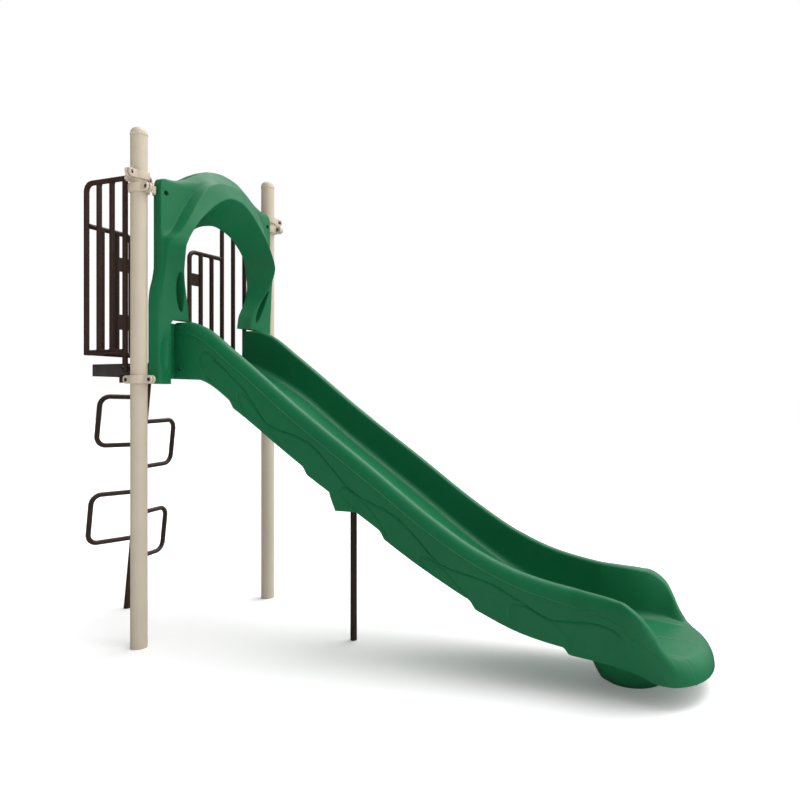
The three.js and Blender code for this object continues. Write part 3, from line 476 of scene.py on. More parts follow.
def clamp_half(rear_ear):
    """Half a cast collar about Z, on the +Y side of its slit, with an ear at one or both ends."""
    bore = POST_R + 0.3
    web = SLIT + EAR_T
    web_angle = math.asin((web + 5) / CLAMP_R)
    end = math.pi - (web_angle if rear_ear else math.asin(SLIT / CLAMP_R))
    fillet = [(CLAMP_R + 16, web), (CLAMP_R + 6, web + 0.8), (CLAMP_R, web + 3)]
    outline = [(EAR_REACH, SLIT), (EAR_REACH, web), *fillet]
    outline += [(CLAMP_R * math.cos(a), CLAMP_R * math.sin(a)) for a in np.linspace(web_angle, end, 30)]
    if rear_ear:
        outline += [(-x, y) for x, y in reversed(fillet)] + [(-EAR_REACH, web), (-EAR_REACH, SLIT)]
    slit_angle = math.asin(SLIT / bore)
    inside = np.linspace(math.pi - slit_angle, slit_angle, 34)
    outline += [(bore * math.cos(a), bore * math.sin(a)) for a in inside]
    return prism(outline, -CLAMP_H / 2, CLAMP_H / 2)


def clamp_piece(name, matrix, rear_ear, socket=None):
    piece = to_object(name, clamp_half(rear_ear))
    round_end = CLAMP_H / 2
    reach = EAR_REACH - round_end
    stadium = [(sign * (reach + round_end * math.cos(a)), sign * round_end * math.sin(a))
               for sign in (1, -1) for a in np.linspace(-math.pi / 2, math.pi / 2, 16)]
    upright = Matrix.Rotation(math.pi / 2, 4, "X")
    carve(piece, [prism(stadium, -110, 110).moved(upright)], "INTERSECT")
    ends = (1, -1) if rear_ear else (1,)
    holes = [lathe([(6.2, 0), (6.2, 40)], 20, (e * BOLT_X, 0, 0), (0, 1, 0)) for e in ends]
    holes += [lathe([(11.5, EAR_T + SLIT - 6), (12.2, 60)], 28, (e * BOLT_X, 0, 0), (0, 1, 0)) for e in ends]
    carve(piece, holes)
    if socket is not None:
        bore = BAR_R + 0.3
        nozzle = lathe([(bore, 52), (SOCKET_R, 52), (SOCKET_R + 1.5, 62), (SOCKET_R + 1.5, 84),
                        (SOCKET_R - 0.5, SOCKET_REACH), (bore, SOCKET_REACH)],
                       36, (0, 0, 0), (0, 1, 0), closed=True)
        carve(piece, [nozzle.moved(Matrix.Rotation(socket, 4, "Z"))], "UNION")
    round_edges(piece, 2.6, 3, 40)
    to_frame = Matrix.Translation((PLANE, 0, 0)) @ Matrix.Diagonal((MM, MM, MM, 1))
    piece.data.transform(to_frame @ matrix @ to_frame.inverted())
    if matrix.determinant() < 0:
        piece.data.flip_normals()
    shade(piece, 40)
    publish(piece, "beige_powder_coat", name)


def build_posts():
    seat = SLIT + EAR_T - 5.7
    for side, word in SIDES:
        y = side * POST_Y
        show(f"post_{word}", post_body(y), "beige_powder_coat")
        show(f"post_cap_{word}", cap_body(y), "beige_powder_coat", sharp=50)

        def clamp_frame(use):
            lean = Matrix.Rotation(math.radians(side * CLAMP_TURN[use]), 4, "Z")
            return Matrix.Translation((0, y, CLAMP_Z[use])) @ lean

        for use, rear_ear in (("hood", False), ("deck", True)):
            for half, sign in (("outer", side), ("inner", -side)):
                matrix = clamp_frame(use) @ Matrix.Diagonal((1, sign, 1, 1))
                clamp_piece(f"{use}_clamp_{half}_{word}", matrix, rear_ear)
        backwards = -math.radians(side * CLAMP_TURN["barrier"])
        for half, turn, socket in (("front", -90, None), ("rear", 90, backwards)):
            matrix = clamp_frame("barrier") @ Matrix.Rotation(math.radians(turn), 4, "Z")
            clamp_piece(f"barrier_clamp_{half}_{word}", matrix, True, socket)

        def clamp_bolt(use, start, direction, grip):
            matrix = clamp_frame(use)
            return bolt_body(matrix @ Vector((*start, 0)), matrix.to_3x3() @ Vector((*direction, 0)), grip)

        inward = (0, -side)
        for name, use, x, grip in ((f"hood_clamp_bolt_{word}", "hood", BOLT_X, seat + SLIT + EAR_T + 6.6),
                                   (f"deck_clamp_rear_bolt_{word}", "deck", -BOLT_X, 2 * seat),
                                   (f"deck_clamp_front_bolt_{word}", "deck", BOLT_X, 2 * seat)):
            show(name, clamp_bolt(use, (x, side * seat), inward, grip), "fasteners", sharp=40)
        pair = [clamp_bolt("barrier", (seat, s * BOLT_X), (-1, 0), 2 * seat) for s in (-1, 1)]
        show(f"barrier_clamp_bolt_{word}", gather(pair), "fasteners", sharp=40)


# ---- Deck ----
def rounded_outline(inset, corner=10, steps=5):
    """The deck's outline set in by an amount, with round corners."""
    x0, x1 = DECK_REAR + inset, DECK_FRONT - inset
    half = DECK_HALF - inset
    radius = max(1, corner - inset)
    centres = [(x1 - radius, half - radius, 0), (x0 + radius, half - radius, 90),
               (x0 + radius, radius - half, 180), (x1 - radius, radius - half, 270)]
    return [(cx + radius * math.cos(a), cy + radius * math.sin(a)) for cx, cy, start in centres
            for a in np.radians(np.linspace(start, start + 90, steps))]


def punched_sheet(x, y, top, thickness, columns, rows, radius):
    """A sheet with a grid of round holes through it."""
    width, depth = (x[1] - x[0]) / columns, (y[1] - y[0]) / rows
    turns = [math.radians(45 * k) for k in range(8)]
    square = [(1, 0), (1, 1), (0, 1), (-1, 1), (-1, 0), (-1, -1), (0, -1), (1, -1)]
    body = Body()
    for column in range(columns):
        for row in range(rows):
            cx, cy = x[0] + (column + 0.5) * width, y[0] + (row + 0.5) * depth
            rim = [(cx + sx * width / 2, cy + sy * depth / 2) for sx, sy in square]
            hole = [(cx + radius * math.cos(a), cy + radius * math.sin(a)) for a in turns]
            chamfer = [(cx + (radius + 1) * math.cos(a), cy + (radius + 1) * math.sin(a)) for a in turns]
            layers = [(rim, top), (chamfer, top), (hole, top - 1), (hole, top - thickness),
                      (rim, top - thickness)]
            start = len(body.points)
            body.points += [Vector((px, py, z)) for outline, z in layers for px, py in outline]
            for layer in range(4):
                for k in range(8):
                    a, b = start + layer * 8 + k, start + layer * 8 + (k + 1) % 8
                    body.faces.append((a, b, b + 8, a + 8))
    return body


def build_deck():
    bottom = DECK_TOP - DECK_DEPTH
    layers = [(9, DECK_TOP - 5), (9, DECK_TOP), (4.5, DECK_TOP), (1.6, DECK_TOP - 1.2), (0.4, DECK_TOP - 3.4),
              (0, DECK_TOP - 6), (0, bottom + 2), (0.8, bottom + 0.4), (2.5, bottom), (4.2, bottom + 0.6),
              (5, bottom + 2), (5, DECK_TOP - 8)]
    edge = rings_to_body([[Vector((px, py, z)) for px, py in rounded_outline(inset)] for inset, z in layers],
                         closed=True)
    sheet = punched_sheet((DECK_REAR + 8, DECK_FRONT - 8), (-DECK_HALF + 8, DECK_HALF - 8),
                          DECK_TOP - 0.2, 4.6, 18, 39, 6.5)
    ribs = [block((DECK_REAR + 4, DECK_FRONT - 4), (y - 2.5, y + 2.5), (bottom + 12, DECK_TOP - 4))
            for y in (-165, 165)]
    piece = to_object("deck", gather([edge, sheet, *ribs]))
    work = bmesh.new()
    work.from_mesh(piece.data)
    bmesh.ops.remove_doubles(work, verts=work.verts, dist=1e-6)
    work.to_mesh(piece.data)
    work.free()
    shade(piece, 35)
    publish(piece, "deck_coating", "deck")
    for side, word in SIDES:
        bracket_z = CLAMP_Z["deck"]
        tab = block((-150, -64), (-3, 3), (bracket_z - 18, bottom - 0.3))
        shelf = block((-150, -112), (-112, 3), (bottom - 6.3, bottom - 0.3))
        shape = mirror_y(tab.add(shelf), side).moved(Matrix.Translation((0, side * POST_Y, 0)))
        show_softened(f"deck_bracket_{word}", shape, 1.6)


# ---- Barriers ----
def lofted_plate(x, y, z, edge=1.2):
    """A plate across X with its outer edges cut back."""
    rings = []
    for px, inset in ((x[0], edge), (x[0] + edge, 0), (x[1] - edge, 0), (x[1], edge)):
        rings.append([Vector((px, a, b)) for a, b in (
            (y[0], z[0] + inset), (y[1], z[0] + inset), (y[1], z[1] - inset), (y[0], z[1] - inset))])
    return rings_to_body(rings)


def build_barriers():
    for side, word in SIDES:
        y = side * POST_Y
        frame_path = arc_path([(-66, y, SIDE_TOP), (REAR_X, y, SIDE_TOP),
                               (REAR_X, y, BAR_BOTTOM - BAR_R)], BAR_BEND)
        shapes = [tube(frame_path, BAR_R, 20, 2),
                  tube([(REAR_X, y, BAR_BOTTOM), (INNER_X, y, BAR_BOTTOM)], BAR_R, 20),
                  weld((REAR_X + BAR_R, y, BAR_BOTTOM), (1, 0, 0), BAR_R),
                  weld((INNER_X - BAR_R, y, BAR_BOTTOM), (1, 0, 0), BAR_R)]
        for step in (1, 2):
            x = REAR_X + step * PITCH
            shapes.append(tube([(x, y, BAR_BOTTOM), (x, y, SIDE_TOP)], BAR_R, 20))
            shapes += [weld((x, y, z), (0, 0, 1), BAR_R) for z in (BAR_BOTTOM + BAR_R, SIDE_TOP - BAR_R)]
        shapes += [tube([(INNER_X, y, 1572), (INNER_X, y, SIDE_TOP)], BAR_R, 20, 2),
                   weld((INNER_X, y, SIDE_TOP - BAR_R), (0, 0, 1), BAR_R),
                   tube([(INNER_X, y, 1600), (INNER_X, side * (DECK_HALF + 0.3), 1600)], 12, 20, 1)]
        show(f"side_barrier_{word}", gather(shapes), "brown_powder_coat")

        outer_y, inner_y = side * (POST_Y - BAR_R - 0.3), side * (POST_Y - 3 * PITCH)
        frame_path = arc_path([(REAR_X, outer_y, REAR_TOP), (REAR_X, inner_y, REAR_TOP),
                               (REAR_X, inner_y, BAR_BOTTOM - BAR_R)], BAR_BEND)
        shapes = [tube(frame_path, BAR_R, 20, 2),
                  tube([(REAR_X, outer_y, BAR_BOTTOM), (REAR_X, inner_y, BAR_BOTTOM)], BAR_R, 20)]
        for z in (REAR_TOP, BAR_BOTTOM):
            shapes.append(weld((REAR_X, outer_y, z), (0, 1, 0), BAR_R, 2.4))
        for step in (1, 2):
            bar_y = side * (POST_Y - step * PITCH)
            shapes.append(tube([(REAR_X, bar_y, BAR_BOTTOM), (REAR_X, bar_y, REAR_TOP)], BAR_R, 20))
            shapes += [weld((REAR_X, bar_y, z), (0, 0, 1), BAR_R)
                       for z in (BAR_BOTTOM + BAR_R, REAR_TOP - BAR_R)]
        for z in ((2210, 2297), (1849, 1943)):
            across = sorted((inner_y, side * (POST_Y - 2 * PITCH)))
            shapes.append(lofted_plate((REAR_X - 2.5, REAR_X + 2.5), across, z))
        show(f"rear_barrier_{word}", gather(shapes), "brown_powder_coat")
        add_bolt(f"barrier_foot_bolt_{word}", (INNER_X, side * (POST_Y + BAR_R + 0.3), 1600), (0, -side, 0),
                 POST_Y + BAR_R - DECK_HALF + 5.6)


# ---- Ladder ----
def build_ladder():
    pole_axis = Vector((POLE_TOP.x - POLE_FOOT.x, 0, POLE_RISE)).normalized()
    swing = math.radians(LOOP_SWING)
    top = POLE_FOOT + pole_axis * (1600 / pole_axis.z)
    rings = []
    for z, inset in ((0, 1.5), (1.5, 0), (400, 0), (800, 0), (1200, 0), (1597, 0), (1600, 2)):
        centre = POLE_FOOT + pole_axis * (z / pole_axis.z)
        rings.append([Vector((centre.x + (POLE_R - inset) * math.cos(a), (POLE_R - inset) * math.sin(a), z))
                      for a in full_turn(32)])
    show("ladder_pole", rings_to_body(rings), "brown_powder_coat")
    for name, (low, high, side) in LOOPS.items():
        outward = Vector((-math.cos(swing) * pole_axis.z, side * math.sin(swing),
                          math.cos(swing) * pole_axis.x))

        def corner(distance, reach):
            return POLE_FOOT + pole_axis * distance + outward * reach

        corners = [corner(high, 6), corner(high, LOOP_REACH), corner(low, LOOP_REACH), corner(low, 6)]
        loop = tube(arc_path(corners, LOOP_BEND, 12), BAR_R, 20)
        beads = [weld(corner(d, POLE_R - 1), outward, BAR_R, 3.6) for d in (low, high)]
        show(name, gather([loop, *beads]), "brown_powder_coat")
    rear = DECK_REAR - 0.3
    base = block((rear - 6, rear), (-58, 58), (1560, 1620))
    cheeks = [block((rear - 122, rear - 1), sorted((s * 23, s * 29)), (1562, 1608)) for s in (-1, 1)]
    show_softened("ladder_bracket", gather([base, *cheeks]), 1.8)
    add_bolt("ladder_cross_bolt", (top.x - 4, -29.3, 1585), (0, 1, 0), 58.6)
    for side, word in SIDES:
        add_bolt(f"ladder_bracket_bolt_{word}", (rear - 6.3, side * 44, 1590), (1, 0, 0), 12)


# ---- Hood ----
def leg_station(z, outer, front, brow, lip, throat):
    return [(outer, z, 28), (front[0], z, front[1]), (front[0] - 9, z, front[1] + 13),
            (brow[0], z, brow[1]), (lip[0], z, lip[1]), (throat, z, 28)]


def arch_station(outer, wall, brow, lip, throat):
    return [(outer[0], outer[1], 28), outer, wall, brow, lip, (*throat, 28)]


HOOD_STATIONS = [
    *[leg_station(z, 508, (488, 64), (462, 84), (lip, 84), throat) for z, lip, throat in (
        (1506, 393, 393), (1850, 393, 393), (1871, 388, 388), (1883, 372, 372), (1887, 350, 350),
        (1888, 268, 204))],
    leg_station(1960, 508, (488, 66), (464, 88), (276, 93), 216),
    leg_station(2040, 501, (486, 70), (466, 95), (308, 112), 257),
    leg_station(2117, 481, (476, 78), (462, 102), (345, 138), 291),
    leg_station(2190, 470, (470, 84), (458, 108), (372, 164), 299),
    leg_station(2300, 470, (470, 86), (456, 124), (389, 194), 281),
    arch_station((470, 2352, 84), (459, 2350, 98), (445, 2343, 136), (375, 2346, 198), (268, 2352)),
    arch_station((470, 2430, 84), (412, 2400, 99), (402, 2388, 156), (351, 2392, 200), (244, 2392)),
    arch_station((470, 2515, 84), (380, 2452, 101), (368, 2441, 165), (321, 2439, 202), (211, 2427)),
    arch_station((470, 2600, 84), (348, 2513, 103), (334, 2501, 169), (281, 2491, 203), (171, 2462)),
    arch_station((467, 2664, 84), (314, 2573, 107), (299, 2560, 171), (235, 2538, 204), (131, 2487)),
    arch_station((447, 2696, 84), (279, 2633, 115), (263, 2619, 171), (191, 2581, 205), (97, 2501)),
    arch_station((384, 2703, 85), (243, 2685, 127), (225, 2669, 171), (149, 2614, 206), (67, 2510)),
    arch_station((310, 2728, 87), (199, 2726, 138), (181, 2713, 171), (107, 2642, 207), (43, 2516)),
    arch_station((215, 2785, 90), (149, 2756, 146), (134, 2743, 171), (69, 2661, 207), (25, 2519)),
    arch_station((110, 2832, 93), (79, 2773, 151), (71, 2763, 171), (34, 2670, 208), (12, 2521)),
    arch_station((0, 2846, 95), (0, 2778, 152), (0, 2768, 171), (0, 2673, 208), (0, 2521)),
]
# How far each corner of a hood slice is rounded, and how many points lie on the edge that follows it.
HOOD_ROUND = (3, 6, 7, 5, 7, 4)
HOOD_EDGE = (3, 4, 3, 12, 8, 8)


def rounded_ring(corners, rounds, edges, steps=4):
    """A ring through corners in space, each one rounded, with points along the edges between them."""
    ring = []
    count = len(corners)
    for i, corner in enumerate(corners):
        before, after = corners[i - 1], corners[(i + 1) % count]
        to_before, to_after = before - corner, after - corner
        reach_in = min(rounds[i], 0.42 * to_before.length)
        reach_out = min(rounds[i], 0.42 * to_after.length)
        start, end = corner + to_before.normalized() * reach_in, corner + to_after.normalized() * reach_out
        for t in (k / steps for k in range(steps + 1)):
            ring.append(start * (1 - t) ** 2 + corner * (2 * t * (1 - t)) + end * t**2)
        next_reach = min(rounds[(i + 1) % count], 0.42 * to_after.length)
        far = after - to_after.normalized() * next_reach
        ring += [end.lerp(far, k / (edges[i] + 1)) for k in range(1, edges[i] + 1)]
    return ring


def hood_slices():
    """The hood's slices from the foot of one leg, over the crown, to the foot of the other."""
    half = np.array(HOOD_STATIONS, float)
    mirrored = half[-2::-1] * np.array([-1, 1, 1])
    stations = np.concatenate([half, mirrored])
    gaps = np.linalg.norm(np.diff(stations, axis=0), axis=2).mean(axis=1)
    position = np.concatenate([[0], np.cumsum(gaps)])
    samples = []
    for start, gap in zip(position, gaps):
        count = max(2, round(gap / 9))
        samples += [start + gap * k / count for k in range(count)]
    samples.append(position[-1])
    lines = [[smooth_line(list(zip(position, stations[:, c, k]))) for k in range(3)] for c in range(6)]
    table = np.array([[line(samples) for line in corner] for corner in lines])
    return [[Vector((table[c, 2, i], table[c, 0, i], table[c, 1, i])) for c in range(6)]
            for i in range(len(samples))]


def build_hood():
    rings = [rounded_ring(corners, HOOD_ROUND, HOOD_EDGE) for corners in hood_slices()]
    for ring in rings:
        for point in ring:
            spread = math.hypot((abs(point.y) - HOLLOW_Y) / HOLLOW_HALF_WIDTH,
                                (point.z - HOLLOW_Z) / HOLLOW_HALF_HEIGHT)
            if point.x > 70 and spread < 1:
                point.x -= HOLLOW_DEPTH * (1 - spread**2)
    tools = []
    for side in (-1, 1):
        bolt_at = (side * HOOD_BOLT_Y, HOOD_BOLT_Z)
        tools.append(lathe([(6.2, 0), (6.2, 260)], 20, (0, *bolt_at), (1, 0, 0)))
        tools.append(lathe([(15, 50), (15.5, 260)], 32, (0, *bolt_at), (1, 0, 0)))
        tools.append(lathe([(9, 0), (9, 68)], 20, (0, side * LEG_BOLT_Y, LEG_BOLT_Z), (1, 0, 0)))
        tools.append(lathe([(59, 1480), (59, 1557.5)], 64, (0, side * POST_Y, 0)))
        oval = [(SLOT_HALF_WIDTH * math.cos(a), SLOT_HALF_LENGTH * math.sin(a))
                for a in np.linspace(0, 2 * math.pi, 41)[:-1]]
        lean = math.radians(-side * SLOT_LEAN)
        cos, sin = math.cos(lean), math.sin(lean)
        turned = [(side * SLOT_Y + u * cos - v * sin, SLOT_Z + u * sin + v * cos) for u, v in oval]
        tools.append(rings_to_body([[Vector((x, y, z)) for y, z in turned] for x in (-20, 280)]))
    piece = to_object("hood", rings_to_body(rings))
    carve(piece, tools, soften=3.5, sharp=38)
    publish(piece, "green_moulding", "hood")
    for side, word in SIDES:
        lean = math.radians(CLAMP_TURN["hood"])
        on_ear = [(x * math.cos(lean) + 19.6 * math.sin(lean), 19.6 * math.cos(lean) - x * math.sin(lean))
                  for x in (108, 90, 76, 72)]
        path = [*on_ear, (72.5, 12), (63, 56), (59, 61), (54, 63), (30, 69.5), (25.5, 72), (24.5, 77),
                (24.5, 148)]
        strip = [Vector((x, y - POST_Y, 0)) for x, y in path]
        outline = []
        for sign in (1, -1):
            line = []
            for i, point in enumerate(strip):
                ahead = (strip[min(i + 1, len(strip) - 1)] - strip[max(i - 1, 0)]).normalized()
                line.append((point.x - sign * ahead.y * 3, point.y + sign * ahead.x * 3))
            outline += line[::sign]
        body = prism(outline, CLAMP_Z["hood"] - 22, CLAMP_Z["hood"] + 22)
        show_softened(f"hood_bracket_{word}", mirror_y(body, -side), 1.4, "beige_powder_coat")
        add_bolt(f"hood_bolt_{word}", (50.3, side * HOOD_BOLT_Y, HOOD_BOLT_Z), (-1, 0, 0), 29.6)
        add_bolt(f"hood_leg_bolt_{word}", (18.7, side * LEG_BOLT_Y, LEG_BOLT_Z), (1, 0, 0), 32)


# ---- Chute ----
BED_YS = (0, 1.6, 3.2, 5, 8, 30, 60, 95, 130, 165, 190)
ARC_STEPS, CREST_STEPS, FALL_STEPS, WALL_STEPS = 18, 9, 15, 5
LIP_TURN = [(-1.0, -4.6), (-0.6, -3.0), (-0.15, -1.3), (0.0, 0.0), (-0.15, 1.4), (-0.6, 3.2), (-1.0, 5.0)]
UPPER_STEPS, EDGE_OFFSETS, LOWER_STEPS = 10, (-7, -4.5, -2.2, 0, 2.2, 4.5, 7, 10), 24


def half_section(x, plain):
    """Half of the chute's section at x, as (y, z, depth on the skirt) rows, from the bed outwards.

    Plain leaves out the lip and the leaves, which only show on the outside.
    """
    bed, share = floor_z(x), rim_share(max(x, NOSE_START))
    rim = bed + (rim_z(x) - bed) * share
    rows = [(y, bed, -1) for y in BED_YS]
    for a in np.radians(np.linspace(0, 80, ARC_STEPS)):
        rows.append((BED_HALF - BED_R * (1 - math.sin(a)), bed + BED_R * (1 - math.cos(a)) * share, -1))
    wall_foot = rows[-1][:2]
    wall_top = (CREST_Y - CREST_R, rim - (CREST_R + 12) * share)
    for k in range(1, WALL_STEPS):
        t = k / WALL_STEPS
        rows.append((*(foot + (top - foot) * t for foot, top in zip(wall_foot, wall_top)), -1))
    for a in np.radians(np.linspace(172, 90, CREST_STEPS)):
        rows.append((CREST_Y + CREST_R * math.cos(a), rim - CREST_R * (1 - math.sin(a)) * share, -1))
    lip_z = rim - lip_depth(x) * share
    fall = rim - lip_z + LIP_TURN[0][1] * share
    overhang = LIP_Y - LIP_RISE - CREST_Y
    for a in np.radians(np.linspace(0, 86, FALL_STEPS)[1:]):
        rows.append((CREST_Y + overhang * math.sin(a), rim - fall * (1 - math.cos(a)), -1))
    for outward, down in LIP_TURN:
        bead = 0 if plain else (1 + outward) * LIP_RISE * lip_height(x)
        rows.append((LIP_Y - LIP_RISE + bead, lip_z - down * share, -1))
    start = lip_z - LIP_TURN[-1][1] * share
    end = float(skirt_z(x))
    wave = rim - wave_depth(x) * share
    wave = min(max(wave, end + 16), start - 14)
    stops = list(np.linspace(start, wave + 9, UPPER_STEPS + 1)[1:])
    stops += [wave - offset for offset in EDGE_OFFSETS]
    stops += list(np.linspace(stops[-1], end + 3, LOWER_STEPS + 1)[1:])
    stops += [end + 1, end]
    run = start - end
    for z in stops:
        lean = 4 * (start - z) / run
        base = LIP_Y - LIP_RISE - (0 if plain else LEAF_RISE * wave_height(x)) - lean
        rows.append((base, z, rim - z))
    if not plain:
        rows[-2] = (rows[-2][0] - 0.8, *rows[-2][1:])
        rows[-1] = (rows[-1][0] - 3, *rows[-1][1:])
    return np.array(rows)


def inset_section(x, inset):
    """The plain section set back by an inset, towards the underside."""
    rows = half_section(x, True)
    before = np.vstack([rows[:1], rows[:-1]])[:, :2]
    after = np.vstack([rows[1:], rows[-1:]])[:, :2]
    along = after - before
    along /= np.maximum(np.linalg.norm(along, axis=1, keepdims=True), 1e-6)
    rows[:, 0] += inset * along[:, 1]
    rows[:, 1] -= inset * along[:, 0]
    rows[0, 0] = 0
    rows[-1, 1] = skirt_z(x)
    return rows


def nearest_on_lines(points, lines):
    """How far each point is from the nearest of some lines."""
    best = np.full(len(points), 1e9)
    for line in lines:
        for a, b in zip(line, line[1:]):
            a, b = np.array(a, float), np.array(b, float)
            t = np.clip(((points - a) @ (b - a)) / ((b - a) @ (b - a)), 0, 1)
            best = np.minimum(best, np.linalg.norm(points - (a + t[:, None] * (b - a)), axis=1))
    return best


def curve_through(points, steps=7):
    """A smooth line through points."""
    pts = [np.array(p, float) for p in points]
    pts = [2 * pts[0] - pts[1], *pts, 2 * pts[-1] - pts[-2]]
    line = []
    for a, b, c, d in zip(pts, pts[1:], pts[2:], pts[3:]):
        for t in (k / steps for k in range(steps)):
            line.append(0.5 * (2 * b + (c - a) * t + (2 * a - 5 * b + 4 * c - d) * t**2
                               + (3 * b - a - 3 * c + d) * t**3))
    return [*line, pts[-2]]


LEAF_CURVES = [curve_through(line) for line in LEAF_LINES]
ENTRY_SEAM = curve_through([(59, 60), (75, 150), (98, 225), (135, 285), (182, 322)])


def nose_reach(y, inset):
    share = np.minimum(1, y / (LIP_Y - inset)) ** NOSE_POWER
    return NOSE_X + (NOSE_REACH - inset) * (1 - share) ** (1 / NOSE_POWER)


def nose_row(step, inset, section):
    """One row of the nose, a step of the way from the last straight section to the front edge."""
    start = section(NOSE_START)
    crest = int(np.argmax(start[:, 1]))
    run = np.concatenate([[0], np.cumsum(np.linalg.norm(np.diff(start[crest:, :2], axis=0), axis=1))])
    end_y = start[:, 0] * 0.985
    end_y[crest:] = end_y[crest] + (LIP_Y - inset - 2 - end_y[crest]) * (run / run[-1]) ** 0.8
    end_x = nose_reach(end_y, inset)
    xs = NOSE_START + (end_x - NOSE_START) * step
    row = []
    for i, x in enumerate(xs):
        edge = max(NOSE_EDGE, float(skirt_z(x)))
        near = min(1, (end_x[i] - x) / NOSE_ROLL)
        here = section(x)[i]
        height = 0 if i == len(xs) - 1 else (here[1] - edge) * math.sqrt(max(0, 1 - (1 - near) ** 2))
        y = start[i, 0] + (end_y[i] - start[i, 0]) * step**2
        row.append((x, y, edge + height, here[2] if step < 0.4 else -1))
    return np.array(row)


def chute_rows(inset):
    """Rows of (x, y, z, depth) across half of the chute, from the entry to the front edge."""
    section = (lambda x: half_section(x, False)) if inset == 0 else (lambda x: inset_section(x, inset))
    xs = np.concatenate([np.linspace(CHUTE_START, 330, 36), np.linspace(338, NOSE_START, 272)])
    for edge in (BOSS[0], BOSS[1], BOSS[2] - 1, BOSS[2] + 1, *SCALLOPS):
        xs[np.argmin(abs(xs - edge))] = edge
    rows = []
    for x in np.sort(xs):
        half = section(x)
        rows.append(np.column_stack([np.full(len(half), x), half]))
    for k in range(1, 33):
        rows.append(nose_row(math.sin(k / 32 * math.pi / 2), inset, section))
    rows = np.array(rows)
    rows[..., 1] = flared(rows[..., 0], rows[..., 1], rows[..., 2])
    return rows


LEAF_CUT, TRIM_CUT, DEEPEST_CUT, SEAM_RISE, BED_GROOVE, INNER_STEP = 5.5, 3.8, 6.5, 1.6, 3.4, 5


def emboss(rows):
    """Moves the outer rows for the leaves and the entry seam on the skirt, and the exit bed's grooves."""
    x, y, z, depth = (rows[..., k] for k in range(4))
    on_skirt = depth > 0
    rise = LEAF_RISE * wave_height(x) * (1 - smooth_step((depth - wave_depth(x) + 4) / 9))
    flat = np.stack([x.ravel(), depth.ravel()], axis=1)
    groove = np.zeros(len(flat))
    pick = on_skirt.ravel()
    groove[pick] = nearest_on_lines(flat[pick], LEAF_CURVES)
    cut = np.where(pick, LEAF_CUT * np.exp(-((groove / 5) ** 2)), 0).reshape(x.shape)
    below = smooth_step((depth - wave_depth(x) - 2) / 8)
    edge_fade = smooth_step((x - 150) / 80)
    trim = TRIM_CUT * np.exp(-((depth - wave_depth(x) - 6.5) / 4.5) ** 2) * wave_height(x)
    seam = SEAM_RISE * np.exp(-((nearest_on_lines(flat, [ENTRY_SEAM]) / 3.5) ** 2)).reshape(x.shape)
    sunk = np.minimum(cut * np.maximum(below, 0.4) + trim, DEEPEST_CUT) * edge_fade
    rows[..., 1] = np.where(on_skirt, y + rise + seam - sunk, y)
    bed = (depth < 0) & (y < 262) & (x > 2700) & (z < 262)
    run = smooth_step((x - 2790) / 60) * smooth_step((3098 - x) / 14)
    lines = np.exp(-((y / 3.2) ** 2)) + np.exp(-(((y - 226) / 4.2) ** 2))
    rows[..., 2] = np.where(bed, z - BED_GROOVE * lines * run, z)
    return rows


def build_chute():
    outer, inner = emboss(chute_rows(0)), chute_rows(SKIN)
    # The skirt's inside steps in with the leaves, so that their grooves don't reach it.
    inner[..., 1] -= np.where(inner[..., 3] > 0, INNER_STEP * wave_height(inner[..., 0]), 0)
    grids = []
    for rows in (outer, inner):
        left = rows[:, 1:, :3][:, ::-1] * np.array([1, -1, 1])
        grids.append(np.concatenate([left, rows[:, :, :3]], axis=1))
    count, width = grids[0].shape[:2]
    points = np.concatenate([grid.reshape(-1, 3) for grid in grids])
    shift = count * width
    faces = []
    for r in range(count - 1):
        for c in range(width - 1):
            a = r * width + c
            faces.append((a, a + width, a + width + 1, a + 1))
            faces.append((shift + a, shift + a + 1, shift + a + width + 1, shift + a + width))
        for c in (0, width - 1):
            a = r * width + c
            faces.append((a, a + width, a + width + shift, a + shift))
    for r in (0, count - 1):
        for c in range(width - 1):
            a = r * width + c
            faces.append((a, a + 1, a + 1 + shift, a + shift))
    trough = Body(points, faces)
    end = (CHUTE_START, CHUTE_START + 9)
    trough.add(block(end, (-322, 322), (1541, 1624)))
    for side in (-1, 1):
        trough.add(lofted_plate(end, sorted((side * 318, side * 386)), (1541, 1868), 2.5))
    piece = to_object("chute", trough, 42)
    publish(piece, "green_moulding", "chute")
    for side, word in SIDES:
        outer_y = side * (LIP_Y - 4 - SKIN - 1)
        on_plate = block((35.3, 41.3), sorted((side * 236, outer_y)), (1562, 1622))
        on_skirt = block((35.3, 100), sorted((outer_y, outer_y - side * 6)), (1562, 1622))
        show_softened(f"chute_bracket_{word}", on_plate.add(on_skirt), 1.5)
        add_bolt(f"chute_bolt_{word}", (41.6, side * 262, 1592), (-1, 0, 0), 22.9)
        add_bolt(f"chute_side_bolt_{word}", (79, side * (LIP_Y - LIP_RISE - 2), 1599), (0, -side, 0), 16)


